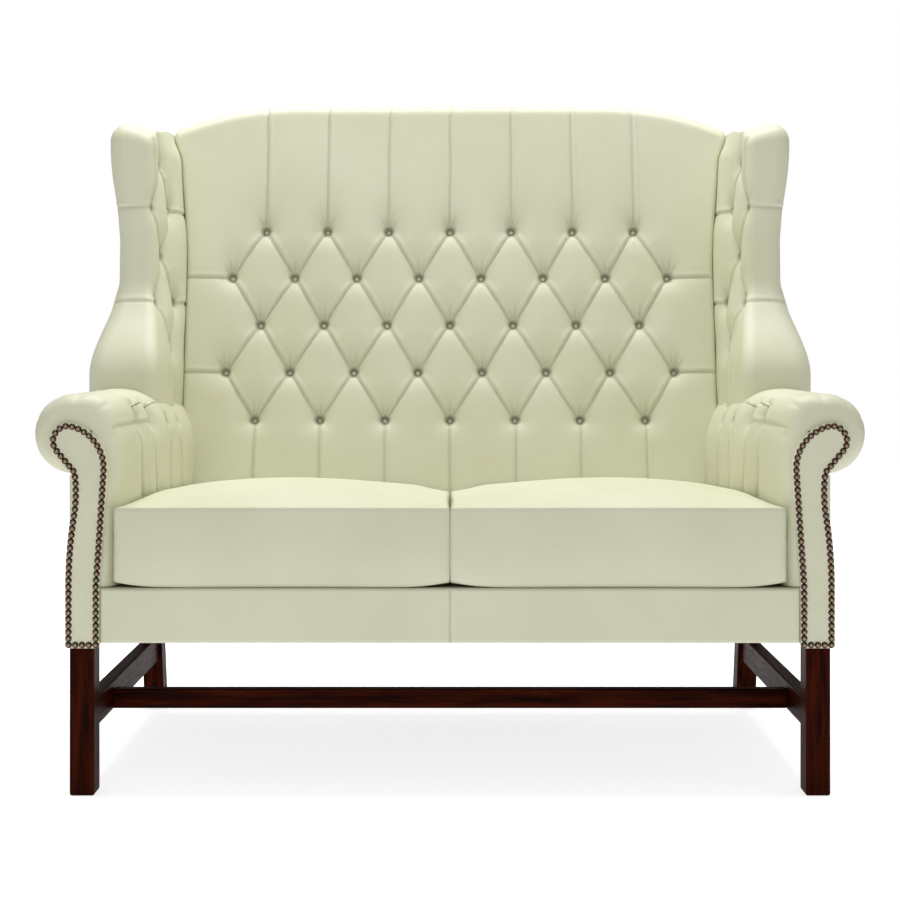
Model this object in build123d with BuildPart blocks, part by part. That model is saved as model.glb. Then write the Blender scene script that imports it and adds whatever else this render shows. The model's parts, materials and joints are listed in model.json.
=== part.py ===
"""Two-seat wing chesterfield sofa, built piece by piece, in millimetres and degrees."""

import os
from math import atan, cos, degrees, radians, sin, sqrt, tan

from build123d import *

os.makedirs("parts", exist_ok=True)

# Clearances between pieces that seat on each other, and round each loose cushion
seat_gap = 0.3
cushion_gap = 1.5

# Flats that a rounded stretch of padding is built from
roll_facets = 4
edge_facets = 2
crease_facets = 2

# Seat
seat_half_front = 553
seat_taper = 48
seat_depth = 520
seat_line = 470
seat_slope = 2.45
platform_front_height = 341
platform_thickness = 14
webbing_thickness = 3
webbing_width = 60
seat_strap_pitch = 130
seat_strap_count = 8

# Wooden frame
rail_bottom = 251
rail_width = 28
arm_frame_reach = 60
centre_rail_height = 40
corner_block_leg = 80
corner_block_height = 34
arm_rail_height = 38
arm_rail_top = 598
lower_arm_rail_bottom = 345
lower_arm_rail_height = 40

# Legs and stretchers
leg_size = 40
leg_proud = 9
rear_leg_kick = 52
side_stretcher_width = 25
side_stretcher_height = 50
side_stretcher_bottom = 100
cross_stretcher_width = 22
cross_stretcher_height = 34
cross_stretcher_bottom = 103
cross_stretcher_setback = 179

# Front border and outside covers
border_setback = 2
border_thickness = 12
border_round = 5
border_seam_depth = 3
border_seam_width = 5
outside_arm_thickness = 9
outside_back_thickness = 4
outside_wing_thickness = 3
dust_cover_thickness = 1.5

# Scroll arms
arm_roll_radius = 65
arm_roll_reach = 6.5
arm_roll_tuck = 1.5
arm_top = 656
arm_lip_reach = 28
arm_lip_inset = 22
arm_fold_front = 560
arm_fold_rear = 505
arm_shoulder_front = 628
arm_shoulder_rear = 597
arm_swell_front = 4
arm_swell_rear = 27
arm_pleat_first = 191
arm_pleat_pitch = 90
arm_pleat_count = 4
arm_pleat_depth = 9
arm_pleat_reach = 22
arm_pleat_upper = 0.75
arm_pleat_outer = 0.5
arm_button_tilt = 35

# Arm facings and nails
facing_thickness = 8
facing_margin = 5.5
facing_bottom = 249
facing_straight = 96
facing_inner_margin = 24.5
facing_outer_reach = 9
facing_neck_margin = 12
facing_neck_draw = 3
facing_neck_height = 498
facing_scroll_reach = 32
facing_scroll_top = 606
facing_bow_rise = 181
facing_bow_depth = 6
facing_outer_bow_rise = 166
facing_outer_bow_depth = 3.5
facing_neck_rise = 32
facing_neck_drop = 33
facing_neck_flare = 2
scroll_head_reach = 15.8
scroll_crown_reach = 24
scroll_nose_drop = 13.5
scroll_nose_reach = 0.5
scroll_chin_drop = 38
scroll_chin_reach = 1.5
nail_pitch = 10.6
nail_radius = 4.9
nail_height = 3
nail_sides = 6
bottom_nail_spaces = 4

# Back
back_rake = 11
back_side_inset = 80
back_height = 780
crest_shoulder = 225
crest_radius = 620
crest_cap = 16
crest_rail_height = 104
back_pad_thickness = 90
back_pad_bottom = -150
back_frame_thickness = 30
back_edge_bevel = 16
lower_back_rail_top = -50
lower_back_rail_height = 50
back_stile_x = 190
back_stile_width = 40
back_strap_first = 180
back_strap_pitch = 100
back_strap_count = 5

# Buttons and tufts
button_radius = 9
button_height = 6
button_sides = 6
stud_crown = 0.55
dimple_radius = 23
dimple_depth = 15
tuft_half_width = 46
tuft_depth = 13
tuft_rows = 5
tuft_first_row = 121.5
tuft_row_pitch = 97
tuft_pitch_low = 129.6
tuft_pitch_high = 124.6
tuft_half_count = 3

# Wings
wing_below_crest = 69.7
wing_foot_sink = 56
wing_waist_reach = 28.5
wing_foot_flare = 36
wing_foot_start = 870
wing_foot_end = 680
wing_top_flare = 19
wing_top_start = 930
wing_front_setback = 445
wing_front_sweep = 105
wing_inner_margin = 12
wing_inner_sweep = 20
wing_inner_round = 22
wing_outer_round = 30
wing_crown_round = 38
wing_step = 66
wing_post_setback = 482
wing_rail_height = 30
wing_rail_drop = 68
wing_panel_setback = 42
wing_tuft_columns = 47
wing_tuft_middle = 508
wing_tuft_low_row = 729
wing_tuft_top_drop = 72
wing_tuft_rows = 5
wing_tuft_half_width = 30
wing_tuft_depth = 8
wing_dimple_depth = 11

# Seat cushions
cushion_setback = 4
cushion_lower_seam = 11
cushion_upper_seam = 131
cushion_crown = 28
cushion_crown_reach = 160
cushion_crown_steps = ((0.55, 0.25), (0.87, 0.6), (1, 1))
cushion_foot_inset = 26
cover_thickness = 3
zip_length = 380
zip_height = 9

# Places worked out from the sizes above
seat_half_rear = seat_half_front - seat_taper
frame_outer_x = seat_half_front + arm_frame_reach
leg_outer_x = frame_outer_x + leg_proud
arm_roll_x = frame_outer_x + arm_roll_reach
facing_inner_x = seat_half_front + facing_inner_margin
facing_outer_x = frame_outer_x + facing_outer_reach
facing_neck_inner_x = seat_half_front + facing_neck_margin
facing_neck_outer_x = frame_outer_x - facing_neck_draw
facing_scroll_outer_x = frame_outer_x + facing_scroll_reach
back_half = frame_outer_x - back_side_inset
crest_flat_half = back_half - crest_shoulder
wing_waist_x = frame_outer_x + wing_waist_reach
wing_inner_front_x = seat_half_front + wing_inner_margin
rake = radians(back_rake)
slope = radians(seat_slope)
webbing_layer = platform_thickness + webbing_thickness
frame_front = back_pad_thickness + webbing_thickness
frame_rear = frame_front + back_frame_thickness
back_total = frame_rear + outside_back_thickness
rear_reach = seat_depth + back_height * sin(rake) + back_total * cos(rake)
front_y = (nail_height - rear_reach) / 2
rail_inner_x = frame_outer_x - rail_width
arm_roll_height = arm_top - arm_roll_radius
arm_pad_bottom = platform_front_height + seat_gap
pocket_inner_x = rail_inner_x - seat_gap
pocket_outer_x = frame_outer_x + seat_gap
border_back = border_setback + border_thickness
leg_inner_x = leg_outer_x - leg_size
wing_rear_half = back_half + seat_gap
wing_top = seat_line + back_height * cos(rake) - wing_below_crest
wing_foot = arm_top - wing_foot_sink
wing_rail_top = wing_top - wing_rail_drop
wing_tuft_row_pitch = (wing_top - wing_tuft_top_drop - wing_tuft_low_row) / (wing_tuft_rows - 1)


def y(setback):
    """Place along Y of a point this far behind the front of the facings."""
    return front_y + setback


def upright(setback):
    """Vertical plane across the sofa, seen from the front."""
    return Plane.XZ.offset(-y(setback))


def back_depth(height, behind):
    """Setback, at a height, of the plane this far behind the front of the back."""
    return seat_depth + (height - seat_line) * tan(rake) + behind / cos(rake)


def arm_inner_x(setback):
    """Inner face of the arm, which closes in towards the back."""
    return seat_half_front + (seat_half_rear - seat_half_front) * setback / seat_depth


def smooth(share):
    """Eased step from 0 to 1."""
    held = min(max(share, 0), 1)
    return held * held * (3 - 2 * held)


seat_plane = Plane(
    origin=(0, y(0), platform_front_height),
    x_dir=(1, 0, 0),
    z_dir=(0, sin(slope), cos(slope)),
)
rail_plane = seat_plane.offset(-webbing_layer)
back_plane = Plane(
    origin=(0, y(seat_depth), seat_line),
    x_dir=(1, 0, 0),
    z_dir=(0, -cos(rake), sin(rake)),
)
frame_plane = back_plane.offset(-frame_front)
kink_height = platform_front_height - webbing_layer - seat_depth * tan(slope)
kink_setback = back_depth(kink_height, frame_rear)


def save(part, name):
    """Label a piece and write it out."""
    part.label = name
    export_step(part, f"parts/{name}.step")


def save_pair(part, name):
    """Write a right-hand piece and its mirror image on the left."""
    save(part, f"{name}_right")
    save(mirror(part, about=Plane.YZ), f"{name}_left")


def block(x_from, x_to, back_from, back_to, z_from, z_to):
    """Box between two limits on each axis, with setbacks along Y."""
    middle = ((x_from + x_to) / 2, y((back_from + back_to) / 2), (z_from + z_to) / 2)
    with BuildPart() as box:
        with Locations(middle):
            Box(x_to - x_from, back_to - back_from, z_to - z_from)
    return box.part


def railed(part):
    """Cut the top of a seat-frame piece to the slope that the webbing lies on."""
    with BuildPart() as cut:
        add(part)
        split(bisect_by=rail_plane, keep=Keep.BOTTOM)
    return cut.part


def to_back_frame(part):
    """Cut the rear end of a rail to the raked front of the back frame."""
    with BuildPart() as cut:
        add(part)
        split(bisect_by=frame_plane, keep=Keep.TOP)
    return cut.part


def back_board(x_from, x_to, low, high, front, thickness):
    """Flat piece lying in the raked back, its front this far behind the back's front."""
    with BuildPart() as board:
        with BuildSketch(back_plane.offset(-front)):
            with Locations(((x_from + x_to) / 2, (low + high) / 2)):
                Rectangle(x_to - x_from, high - low)
        extrude(amount=-thickness)
    return board.part


def crest(x, inset):
    """Height up the raked back of the crest line, or of a line this far inside it."""
    across = max(abs(x) - crest_flat_half, 0)
    return back_height - crest_radius + sqrt((crest_radius - inset) ** 2 - across**2)


def back_outline(half, bottom, inset):
    """Outline of the back with the raised crest, or of a line this far inside it."""
    shoulder = (half + crest_flat_half) / 2
    top = back_height - inset
    with BuildSketch() as outline:
        with BuildLine():
            Line((-half, bottom), (half, bottom))
            Line((half, bottom), (half, crest(half, inset)))
            ThreePointArc(
                (half, crest(half, inset)),
                (shoulder, crest(shoulder, inset)),
                (crest_flat_half, top),
            )
            Line((crest_flat_half, top), (-crest_flat_half, top))
            ThreePointArc(
                (-crest_flat_half, top),
                (-shoulder, crest(shoulder, inset)),
                (-half, crest(half, inset)),
            )
            Line((-half, crest(half, inset)), (-half, bottom))
        make_face()
    return outline.sketch


def bend(start, middle, end, facets):
    """Points along a rounded stretch of padding, which is built from flats."""
    arc = ThreePointArc(start, middle, end, mode=Mode.PRIVATE)
    return [arc @ (n / facets) for n in range(facets + 1)]


def groove(start, end, outward, half_width, depth):
    """Cutter for one sewn crease, with rounded padding on both sides of it."""
    along = end - start
    across = outward.cross(along.normalized())
    cheek = TangentArc((-half_width, 0), (0, -depth), tangent=(1, 0), mode=Mode.PRIVATE)
    falling = [cheek @ (n / crease_facets) for n in range(crease_facets + 1)]
    rising = [Vector(-point.X, point.Y) for point in reversed(falling[:-1])]
    with BuildPart() as cutter:
        with BuildSketch(Plane(origin=start, x_dir=across, z_dir=along)):
            with BuildLine():
                Polyline(
                    *falling,
                    *rising,
                    (half_width, depth),
                    (-half_width, depth),
                    close=True,
                )
            make_face()
        extrude(amount=along.length)
    return cutter.part


def dimple(depth):
    """Cutter for the hollow that a button is drawn into, opening along +Z."""
    floor_radius = button_radius + 2 * seat_gap
    rise = depth + button_height / 2
    with BuildPart() as cutter:
        with BuildSketch(Plane.XY.offset(-depth)):
            RegularPolygon(floor_radius, button_sides)
        extrude(amount=rise, taper=-degrees(atan((dimple_radius - floor_radius) / rise)))
    return cutter.part


def stud(radius, height, sides):
    """Low many-sided dome standing on its own plane."""
    with BuildPart() as dome:
        with BuildSketch(Plane.XY):
            RegularPolygon(radius, sides)
        extrude(amount=height, taper=degrees(atan(radius * (1 - stud_crown) / height)))
    return dome.part


def placed(part, places):
    """Copies of a small piece at each place, as one group."""
    with BuildPart() as group:
        with Locations(*places):
            add(part)
    return group.part


# Legs and stretchers
front_leg = block(
    leg_inner_x,
    leg_outer_x,
    facing_thickness,
    facing_thickness + leg_size,
    0,
    rail_bottom,
)
save_pair(front_leg, "front_leg")

rear_leg_front = kink_setback - leg_size
with BuildPart() as rear_leg:
    with BuildSketch(Plane.YZ.offset(leg_inner_x)):
        with BuildLine():
            Polyline(
                (y(rear_leg_front), rail_bottom),
                (y(kink_setback), rail_bottom),
                (y(kink_setback + rear_leg_kick), 0),
                (y(rear_leg_front + rear_leg_kick), 0),
                close=True,
            )
        make_face()
    extrude(amount=leg_size)
save_pair(rear_leg.part, "rear_leg")

leg_middle_x = leg_outer_x - leg_size / 2
side_stretcher_inner_x = leg_middle_x - side_stretcher_width / 2
kick_angle = rear_leg_kick / rail_bottom
rear_leg_plane = Plane(
    origin=(0, y(rear_leg_front), rail_bottom),
    x_dir=(1, 0, 0),
    z_dir=(0, 1, kick_angle),
)
with BuildPart() as side_stretcher:
    add(
        block(
            side_stretcher_inner_x,
            side_stretcher_inner_x + side_stretcher_width,
            facing_thickness + leg_size,
            kink_setback,
            side_stretcher_bottom,
            side_stretcher_bottom + side_stretcher_height,
        )
    )
    split(bisect_by=rear_leg_plane, keep=Keep.BOTTOM)
save_pair(side_stretcher.part, "side_stretcher")

cross_stretcher = block(
    -side_stretcher_inner_x,
    side_stretcher_inner_x,
    cross_stretcher_setback,
    cross_stretcher_setback + cross_stretcher_width,
    cross_stretcher_bottom,
    cross_stretcher_bottom + cross_stretcher_height,
)
save(cross_stretcher, "cross_stretcher")

# Seat frame
front_rail_back = border_back + rail_width
rear_rail_front = kink_setback - rail_width
front_seat_rail = railed(
    block(
        -rail_inner_x,
        rail_inner_x,
        border_back,
        front_rail_back,
        rail_bottom,
        platform_front_height,
    )
)
save(front_seat_rail, "front_seat_rail")
rear_seat_rail = railed(
    block(
        -rail_inner_x,
        rail_inner_x,
        rear_rail_front,
        kink_setback,
        rail_bottom,
        platform_front_height,
    )
)
save(rear_seat_rail, "rear_seat_rail")
side_seat_rail = railed(
    block(
        rail_inner_x,
        frame_outer_x,
        facing_thickness,
        kink_setback,
        rail_bottom,
        platform_front_height,
    )
)
save_pair(side_seat_rail, "side_seat_rail")
centre_seat_rail = block(
    -rail_width / 2,
    rail_width / 2,
    front_rail_back,
    rear_rail_front,
    rail_bottom,
    rail_bottom + centre_rail_height,
)
save(centre_seat_rail, "centre_seat_rail")

with BuildPart() as corner_blocks:
    with BuildSketch(Plane.XY.offset(rail_bottom)):
        for corner_y, inward in ((y(front_rail_back), 1), (y(rear_rail_front), -1)):
            for hand in (-1, 1):
                with BuildLine():
                    Polyline(
                        (hand * rail_inner_x, corner_y),
                        (hand * (rail_inner_x - corner_block_leg), corner_y),
                        (hand * rail_inner_x, corner_y + inward * corner_block_leg),
                        close=True,
                    )
                make_face()
    extrude(amount=corner_block_height)
save(corner_blocks.part, "corner_blocks")

strap_length = kink_setback - border_back - rail_width / 2
with BuildPart() as seat_webbing:
    with BuildSketch(rail_plane):
        with Locations((0, border_back + rail_width / 4 + strap_length / 2)):
            with GridLocations(seat_strap_pitch, 0, seat_strap_count, 1):
                Rectangle(webbing_width, strap_length)
    extrude(amount=webbing_thickness)
save(seat_webbing.part, "seat_webbing")

platform_front = border_back + seat_gap + platform_thickness * sin(slope)
platform_rear = back_depth(kink_height + webbing_layer, 0) - cushion_gap
with BuildPart() as seat_platform:
    with BuildSketch(seat_plane.offset(-platform_thickness)):
        with Locations((0, (platform_front + platform_rear) / 2)):
            Rectangle(2 * rail_inner_x, platform_rear - platform_front)
    extrude(amount=platform_thickness)
save(seat_platform.part, "seat_platform")

dust_cover = block(
    seat_gap - leg_inner_x,
    leg_inner_x - seat_gap,
    border_back,
    kink_setback,
    rail_bottom - dust_cover_thickness,
    rail_bottom,
)
save(dust_cover, "dust_cover")

border_half = facing_inner_x - facing_margin - seat_gap
with BuildPart() as front_border:
    add(
        block(
            -border_half,
            border_half,
            border_setback,
            border_back,
            rail_bottom,
            platform_front_height - seat_gap,
        )
    )
    front_edges = front_border.faces().sort_by(Axis.Y)[0].edges()
    fillet(front_edges, radius=border_round)
    with BuildSketch(Plane.XY.offset(rail_bottom)):
        with BuildLine():
            Polyline(
                (-border_seam_width / 2, y(border_setback)),
                (0, y(border_setback + border_seam_depth)),
                (border_seam_width / 2, y(border_setback)),
                close=True,
            )
        make_face()
    extrude(amount=platform_front_height - rail_bottom, mode=Mode.SUBTRACT)
save(front_border.part, "front_border")

# Arm frame
arm_post_back = facing_thickness + rail_width
with BuildPart() as arm_post:
    add(
        block(
            rail_inner_x,
            frame_outer_x,
            facing_thickness,
            arm_post_back,
            rail_bottom,
            arm_rail_top,
        )
    )
    split(bisect_by=rail_plane, keep=Keep.TOP)
save_pair(arm_post.part, "arm_post")

rail_overrun = back_depth(wing_top, frame_rear)
arm_rail = to_back_frame(
    block(
        rail_inner_x,
        frame_outer_x,
        arm_post_back,
        rail_overrun,
        arm_rail_top - arm_rail_height,
        arm_rail_top,
    )
)
save_pair(arm_rail, "arm_rail")
lower_arm_rail = to_back_frame(
    block(
        rail_inner_x,
        frame_outer_x,
        arm_post_back,
        rail_overrun,
        lower_arm_rail_bottom,
        lower_arm_rail_bottom + lower_arm_rail_height,
    )
)
save_pair(lower_arm_rail, "lower_arm_rail")

outside_arm_top = arm_top - 2 * arm_roll_radius - seat_gap
with BuildPart() as outside_arm:
    with BuildSketch(Plane.YZ.offset(frame_outer_x)):
        with BuildLine():
            Polyline(
                (y(facing_thickness), rail_bottom),
                (y(kink_setback), rail_bottom),
                (y(kink_setback), kink_height),
                (y(back_depth(outside_arm_top, frame_rear)), outside_arm_top),
                (y(facing_thickness), outside_arm_top),
                close=True,
            )
        make_face()
    extrude(amount=outside_arm_thickness)
save_pair(outside_arm.part, "outside_arm")

# Back frame
post_top = back_height - crest_rail_height - crest_cap
with BuildPart() as back_post:
    add(
        back_board(
            rail_inner_x,
            frame_outer_x,
            2 * back_pad_bottom,
            post_top,
            frame_front,
            back_frame_thickness,
        )
    )
    split(bisect_by=rail_plane, keep=Keep.TOP)
save_pair(back_post.part, "back_post")

with BuildPart() as crest_rail:
    with BuildSketch(frame_plane):
        add(back_outline(frame_outer_x, post_top, crest_cap + seat_gap))
    extrude(amount=-back_frame_thickness)
save(crest_rail.part, "crest_rail")

lower_back_rail = back_board(
    -rail_inner_x,
    rail_inner_x,
    lower_back_rail_top - lower_back_rail_height,
    lower_back_rail_top,
    frame_front,
    back_frame_thickness,
)
save(lower_back_rail, "lower_back_rail")
back_stile = back_board(
    back_stile_x - back_stile_width / 2,
    back_stile_x + back_stile_width / 2,
    lower_back_rail_top,
    post_top,
    frame_front,
    back_frame_thickness,
)
save_pair(back_stile, "back_stile")

with BuildPart() as back_webbing:
    with BuildSketch(back_plane.offset(-back_pad_thickness)):
        for strap in range(back_strap_count):
            with Locations((0, back_strap_first + strap * back_strap_pitch)):
                Rectangle(2 * frame_outer_x, webbing_width)
    extrude(amount=-webbing_thickness)
save(back_webbing.part, "back_webbing")

outside_back_half = frame_outer_x + outside_arm_thickness
rise = 2 * back_height
with BuildPart() as outside_back:
    with BuildSketch(Plane.YZ):
        with BuildLine():
            foot_y = y(kink_setback)
            skin_y = foot_y + outside_back_thickness
            drop = outside_back_thickness * (1 / cos(rake) - 1) / tan(rake)
            top_y = foot_y + rise * sin(rake)
            top_z = kink_height + rise * cos(rake)
            Polyline(
                (foot_y, rail_bottom),
                (foot_y, kink_height),
                (top_y, top_z),
                (
                    top_y + outside_back_thickness * cos(rake),
                    top_z - outside_back_thickness * sin(rake),
                ),
                (skin_y, kink_height - drop),
                (skin_y, rail_bottom),
                close=True,
            )
        make_face()
    extrude(amount=outside_back_half, both=True)
    with BuildSketch(back_plane):
        add(back_outline(outside_back_half, -back_height, 0))
    extrude(amount=-2 * back_total, mode=Mode.INTERSECT)
save(outside_back.part, "outside_back")


# Deep-buttoned back pad
def tuft_x(row, step):
    """Place across the back of a button, counted in pitches from the centre."""
    share = row / (tuft_rows - 1)
    return step * (tuft_pitch_low + (tuft_pitch_high - tuft_pitch_low) * share)


def tuft_half(row):
    """Pitches from the centre to the outermost button of a row."""
    return tuft_half_count + 0.5 * (row % 2)


def tuft_point(row, step):
    """Place of a button on the front of the back."""
    return tuft_x(row, step), tuft_first_row + row * tuft_row_pitch


def back_point(x, up):
    """Point on the front plane of the back."""
    return back_plane.from_local_coords(Vector(x, up, 0))


back_buttons = []
for row in range(tuft_rows):
    for button in range(int(2 * tuft_half(row)) + 1):
        back_buttons.append(tuft_point(row, button - tuft_half(row)))

creases = []
for hand in (-1, 1):
    for row in range(tuft_rows):
        at_side = hand * tuft_half(row)
        starts = [at_side] if 0 < row < tuft_rows - 1 and row % 2 else []
        if row == 0:
            starts = [button - tuft_half_count for button in range(2 * tuft_half_count + 1)]
        for step in starts:
            last = row
            while last + 1 < tuft_rows:
                following = step - hand * 0.5 * (last + 1 - row)
                if abs(following) > tuft_half(last + 1):
                    break
                last += 1
            end = step - hand * 0.5 * (last - row)
            creases.append((tuft_point(row, step), tuft_point(last, end)))
for button in range(2 * tuft_half_count + 1):
    step = button - tuft_half_count
    low_x, low_up = tuft_point(0, step)
    high_x, high_up = tuft_point(tuft_rows - 1, step)
    creases.append(((low_x, low_up), (low_x, back_pad_bottom)))
    creases.append(((high_x, high_up), (high_x, back_height)))
for row in range(1, tuft_rows, 2):
    for hand in (-1, 1):
        edge_x, edge_up = tuft_point(row, hand * tuft_half(row))
        creases.append(((edge_x, edge_up), (hand * back_half, edge_up)))

back_outward = back_plane.z_dir
crease_cutters = [
    groove(back_point(*start), back_point(*end), back_outward, tuft_half_width, tuft_depth)
    for start, end in creases
]
back_hollows = placed(
    dimple(dimple_depth),
    [back_plane.location * Location((x, up, 0)) for x, up in back_buttons],
)
with BuildPart() as back_pad:
    with BuildSketch(back_plane):
        add(back_outline(back_half, back_pad_bottom, 0))
    extrude(amount=-back_pad_thickness)
    front_face = back_pad.faces().sort_by(Axis((0, 0, 0), back_outward))[-1]
    upper_edges = front_face.edges().sort_by(Axis.Z)[1:]
    chamfer(upper_edges, length=back_edge_bevel)
    with BuildSketch(back_plane.offset(-back_pad_thickness)):
        add(back_outline(frame_outer_x, lower_back_rail_top, 0))
        rail_outline = back_outline(frame_outer_x + crest_cap, 2 * back_pad_bottom, crest_cap)
        add(rail_outline, mode=Mode.SUBTRACT)
    extrude(amount=-(webbing_thickness + back_frame_thickness))
    add(crease_cutters, mode=Mode.SUBTRACT)
    add(back_hollows, mode=Mode.SUBTRACT)
save(back_pad.part, "back_pad")
save(
    placed(
        stud(button_radius, button_height, button_sides),
        [
            back_plane.location * Location((x, up, seat_gap - dimple_depth))
            for x, up in back_buttons
        ],
    ),
    "back_buttons",
)


# Scroll arm pads
def arm_section(setback, inset, pleat):
    """Section across the arm: inset draws the whole outline in, pleat only its padding."""
    share = min(setback / seat_depth, 1)
    inner = arm_inner_x(setback) + inset + pleat
    fold = arm_fold_front + (arm_fold_rear - arm_fold_front) * share
    swell = arm_swell_front + (arm_swell_rear - arm_swell_front) * share
    shoulder = arm_shoulder_front + (arm_shoulder_rear - arm_shoulder_front) * share
    slant = sqrt(0.5)
    drawn = inset + pleat
    upper = (arm_roll_radius - inset - pleat * arm_pleat_upper) * slant
    lower = (arm_roll_radius - inset - arm_roll_tuck) * slant
    top = (arm_roll_x, arm_top - inset - pleat)
    outer = (arm_roll_x + arm_roll_radius - inset - pleat * arm_pleat_outer, arm_roll_height)
    overhang = pocket_outer_x - arm_roll_x
    under = arm_roll_height - sqrt((arm_roll_radius - inset) ** 2 - overhang**2)
    chest = (inner + swell - drawn * (1 - slant), shoulder - drawn * slant)
    crown = (arm_roll_x + upper, arm_roll_height + upper)
    belly = (arm_roll_x + lower, arm_roll_height - lower)
    with BuildLine() as outline:
        Polyline(
            (pocket_inner_x, arm_pad_bottom),
            (inner, arm_pad_bottom),
            *bend((inner, fold), chest, top, roll_facets),
            *bend(top, crown, outer, roll_facets)[1:],
            *bend(outer, belly, (pocket_outer_x, under), roll_facets)[1:],
            (pocket_outer_x, arm_rail_top + seat_gap),
            (pocket_inner_x, arm_rail_top + seat_gap),
            close=True,
        )
    return make_face(outline.edges(), mode=Mode.PRIVATE)


def arm_form(stations):
    """Arm padding through its sections, each with a setback, an inset and a pleat."""
    sections = [
        upright(setback) * arm_section(setback, inset, pleat)
        for setback, inset, pleat in stations
    ]
    with BuildPart() as form:
        loft(sections, ruled=True)
    return form.part


arm_end = back_depth(arm_top, frame_rear)
arm_stations = []
for turn in (0, 30, 60, 90):
    lip = radians(turn)
    reach = arm_lip_reach * (1 - cos(lip))
    arm_stations.append(
        (facing_thickness + reach, arm_lip_inset * (1 - sin(lip)), 0)
    )
arm_pleats = [arm_pleat_first + n * arm_pleat_pitch for n in range(arm_pleat_count)]
for pleat in arm_pleats:
    arm_stations.append((pleat - arm_pleat_reach, 0, 0))
    arm_stations.append((pleat, 0, arm_pleat_depth))
    arm_stations.append((pleat + arm_pleat_reach, 0, 0))
arm_stations.append((arm_end, 0, 0))

wing_post_back = wing_post_setback + rail_width


def frame_slots(clearance):
    """Room for the wing post and wing rail, with the clearance all round."""
    post = block(
        rail_inner_x - clearance,
        frame_outer_x + clearance,
        wing_post_setback - clearance,
        wing_post_back + clearance,
        arm_rail_top - clearance,
        wing_rail_top + clearance,
    )
    rail = block(
        rail_inner_x - clearance,
        frame_outer_x + clearance,
        wing_post_back - clearance,
        rail_overrun,
        wing_rail_top - wing_rail_height - clearance,
        wing_rail_top + clearance,
    )
    return [post, rail]


wing_post, wing_rail = frame_slots(0)
save_pair(wing_post, "wing_post")
save_pair(to_back_frame(wing_rail), "wing_rail")


def arm_button_place(setback, sunk):
    """Frame of a button on the inner shoulder of the arm, opening out of the padding."""
    share = setback / seat_depth
    swell = arm_swell_front + (arm_swell_rear - arm_swell_front) * share
    shoulder = arm_shoulder_front + (arm_shoulder_rear - arm_shoulder_front) * share
    spot = (arm_inner_x(setback) + swell, y(setback), shoulder)
    outward = Vector(-1, 0, tan(radians(arm_button_tilt)))
    return Plane(origin=spot, x_dir=(0, 1, 0), z_dir=outward).offset(-sunk).location


back_room = back_board(
    -wing_rear_half, wing_rear_half, -rise, rise, -seat_gap, rise
)
frame_room = back_board(
    -pocket_outer_x, pocket_outer_x, -rise, rise, back_pad_thickness - seat_gap, rise
)
arm_hollows = placed(
    dimple(arm_pleat_depth + dimple_depth),
    [arm_button_place(pleat, 0) for pleat in arm_pleats],
)
arm_body = arm_form(arm_stations)
with BuildPart() as arm_pad:
    add(arm_body)
    split(bisect_by=back_plane.offset(seat_gap - frame_rear), keep=Keep.TOP)
    add([back_room, frame_room], mode=Mode.SUBTRACT)
    add(frame_slots(seat_gap), mode=Mode.SUBTRACT)
    add(arm_hollows, mode=Mode.SUBTRACT)
save_pair(arm_pad.part, "arm_pad")
save_pair(
    placed(
        stud(button_radius, button_height, button_sides),
        [
            arm_button_place(pleat, arm_pleat_depth + dimple_depth - seat_gap)
            for pleat in arm_pleats
        ],
    ),
    "arm_buttons",
)

# Arm facings, edged with nails
scroll_notch = (facing_neck_outer_x + facing_neck_flare, facing_neck_height + facing_neck_rise)
scroll_crown = (facing_scroll_outer_x - scroll_crown_reach, facing_scroll_top)
scroll_chin = (facing_scroll_outer_x - scroll_chin_reach, facing_scroll_top - scroll_chin_drop)
facing_outer_foot = (facing_outer_x, facing_bottom)
facing_inner_foot = (facing_inner_x, facing_bottom)
with BuildLine() as nail_line:
    inner_side = Line(facing_inner_foot, (facing_inner_x, facing_bottom + facing_straight))
    inner_bow = ThreePointArc(
        inner_side @ 1,
        (facing_inner_x - facing_bow_depth, facing_bottom + facing_bow_rise),
        (facing_neck_inner_x, facing_neck_height + facing_neck_rise),
    )
    scroll_head = ThreePointArc(
        inner_bow @ 1,
        (facing_neck_inner_x + scroll_head_reach, facing_scroll_top - scroll_crown_reach),
        scroll_crown,
    )
    scroll_nose = ThreePointArc(
        scroll_crown,
        (facing_scroll_outer_x - scroll_nose_reach, facing_scroll_top - scroll_nose_drop),
        scroll_chin,
    )
    scroll_throat = Line(scroll_chin, scroll_notch)
    outer_neck = ThreePointArc(
        scroll_notch,
        (facing_neck_outer_x, facing_neck_height),
        (facing_neck_outer_x + facing_neck_flare, facing_neck_height - facing_neck_drop),
    )
    outer_bow = ThreePointArc(
        outer_neck @ 1,
        (facing_outer_x - facing_outer_bow_depth, facing_bottom + facing_outer_bow_rise),
        (facing_outer_x, facing_bottom + facing_straight),
    )
    Line(outer_bow @ 1, facing_outer_foot)

with BuildPart() as arm_facing:
    with BuildSketch(upright(facing_thickness)):
        with BuildLine():
            add(nail_line.line)
            Line(facing_outer_foot, facing_inner_foot)
        make_face()
        offset(amount=facing_margin, kind=Kind.ARC)
    extrude(amount=facing_thickness)
save_pair(arm_facing.part, "arm_facing")

trim = nail_line.wire()
trim_spaces = round(trim.length / nail_pitch)
nail_spots = [trim.position_at(n / trim_spaces) for n in range(trim_spaces + 1)]
for n in range(1, bottom_nail_spaces):
    share = n / bottom_nail_spaces
    nail_spots.append(
        Vector(facing_inner_x + (facing_outer_x - facing_inner_x) * share, facing_bottom)
    )
save_pair(
    placed(
        stud(nail_radius, nail_height, nail_sides),
        [upright(0).location * Location((spot.X, spot.Y, 0)) for spot in nail_spots],
    ),
    "nail_trim",
)


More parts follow.
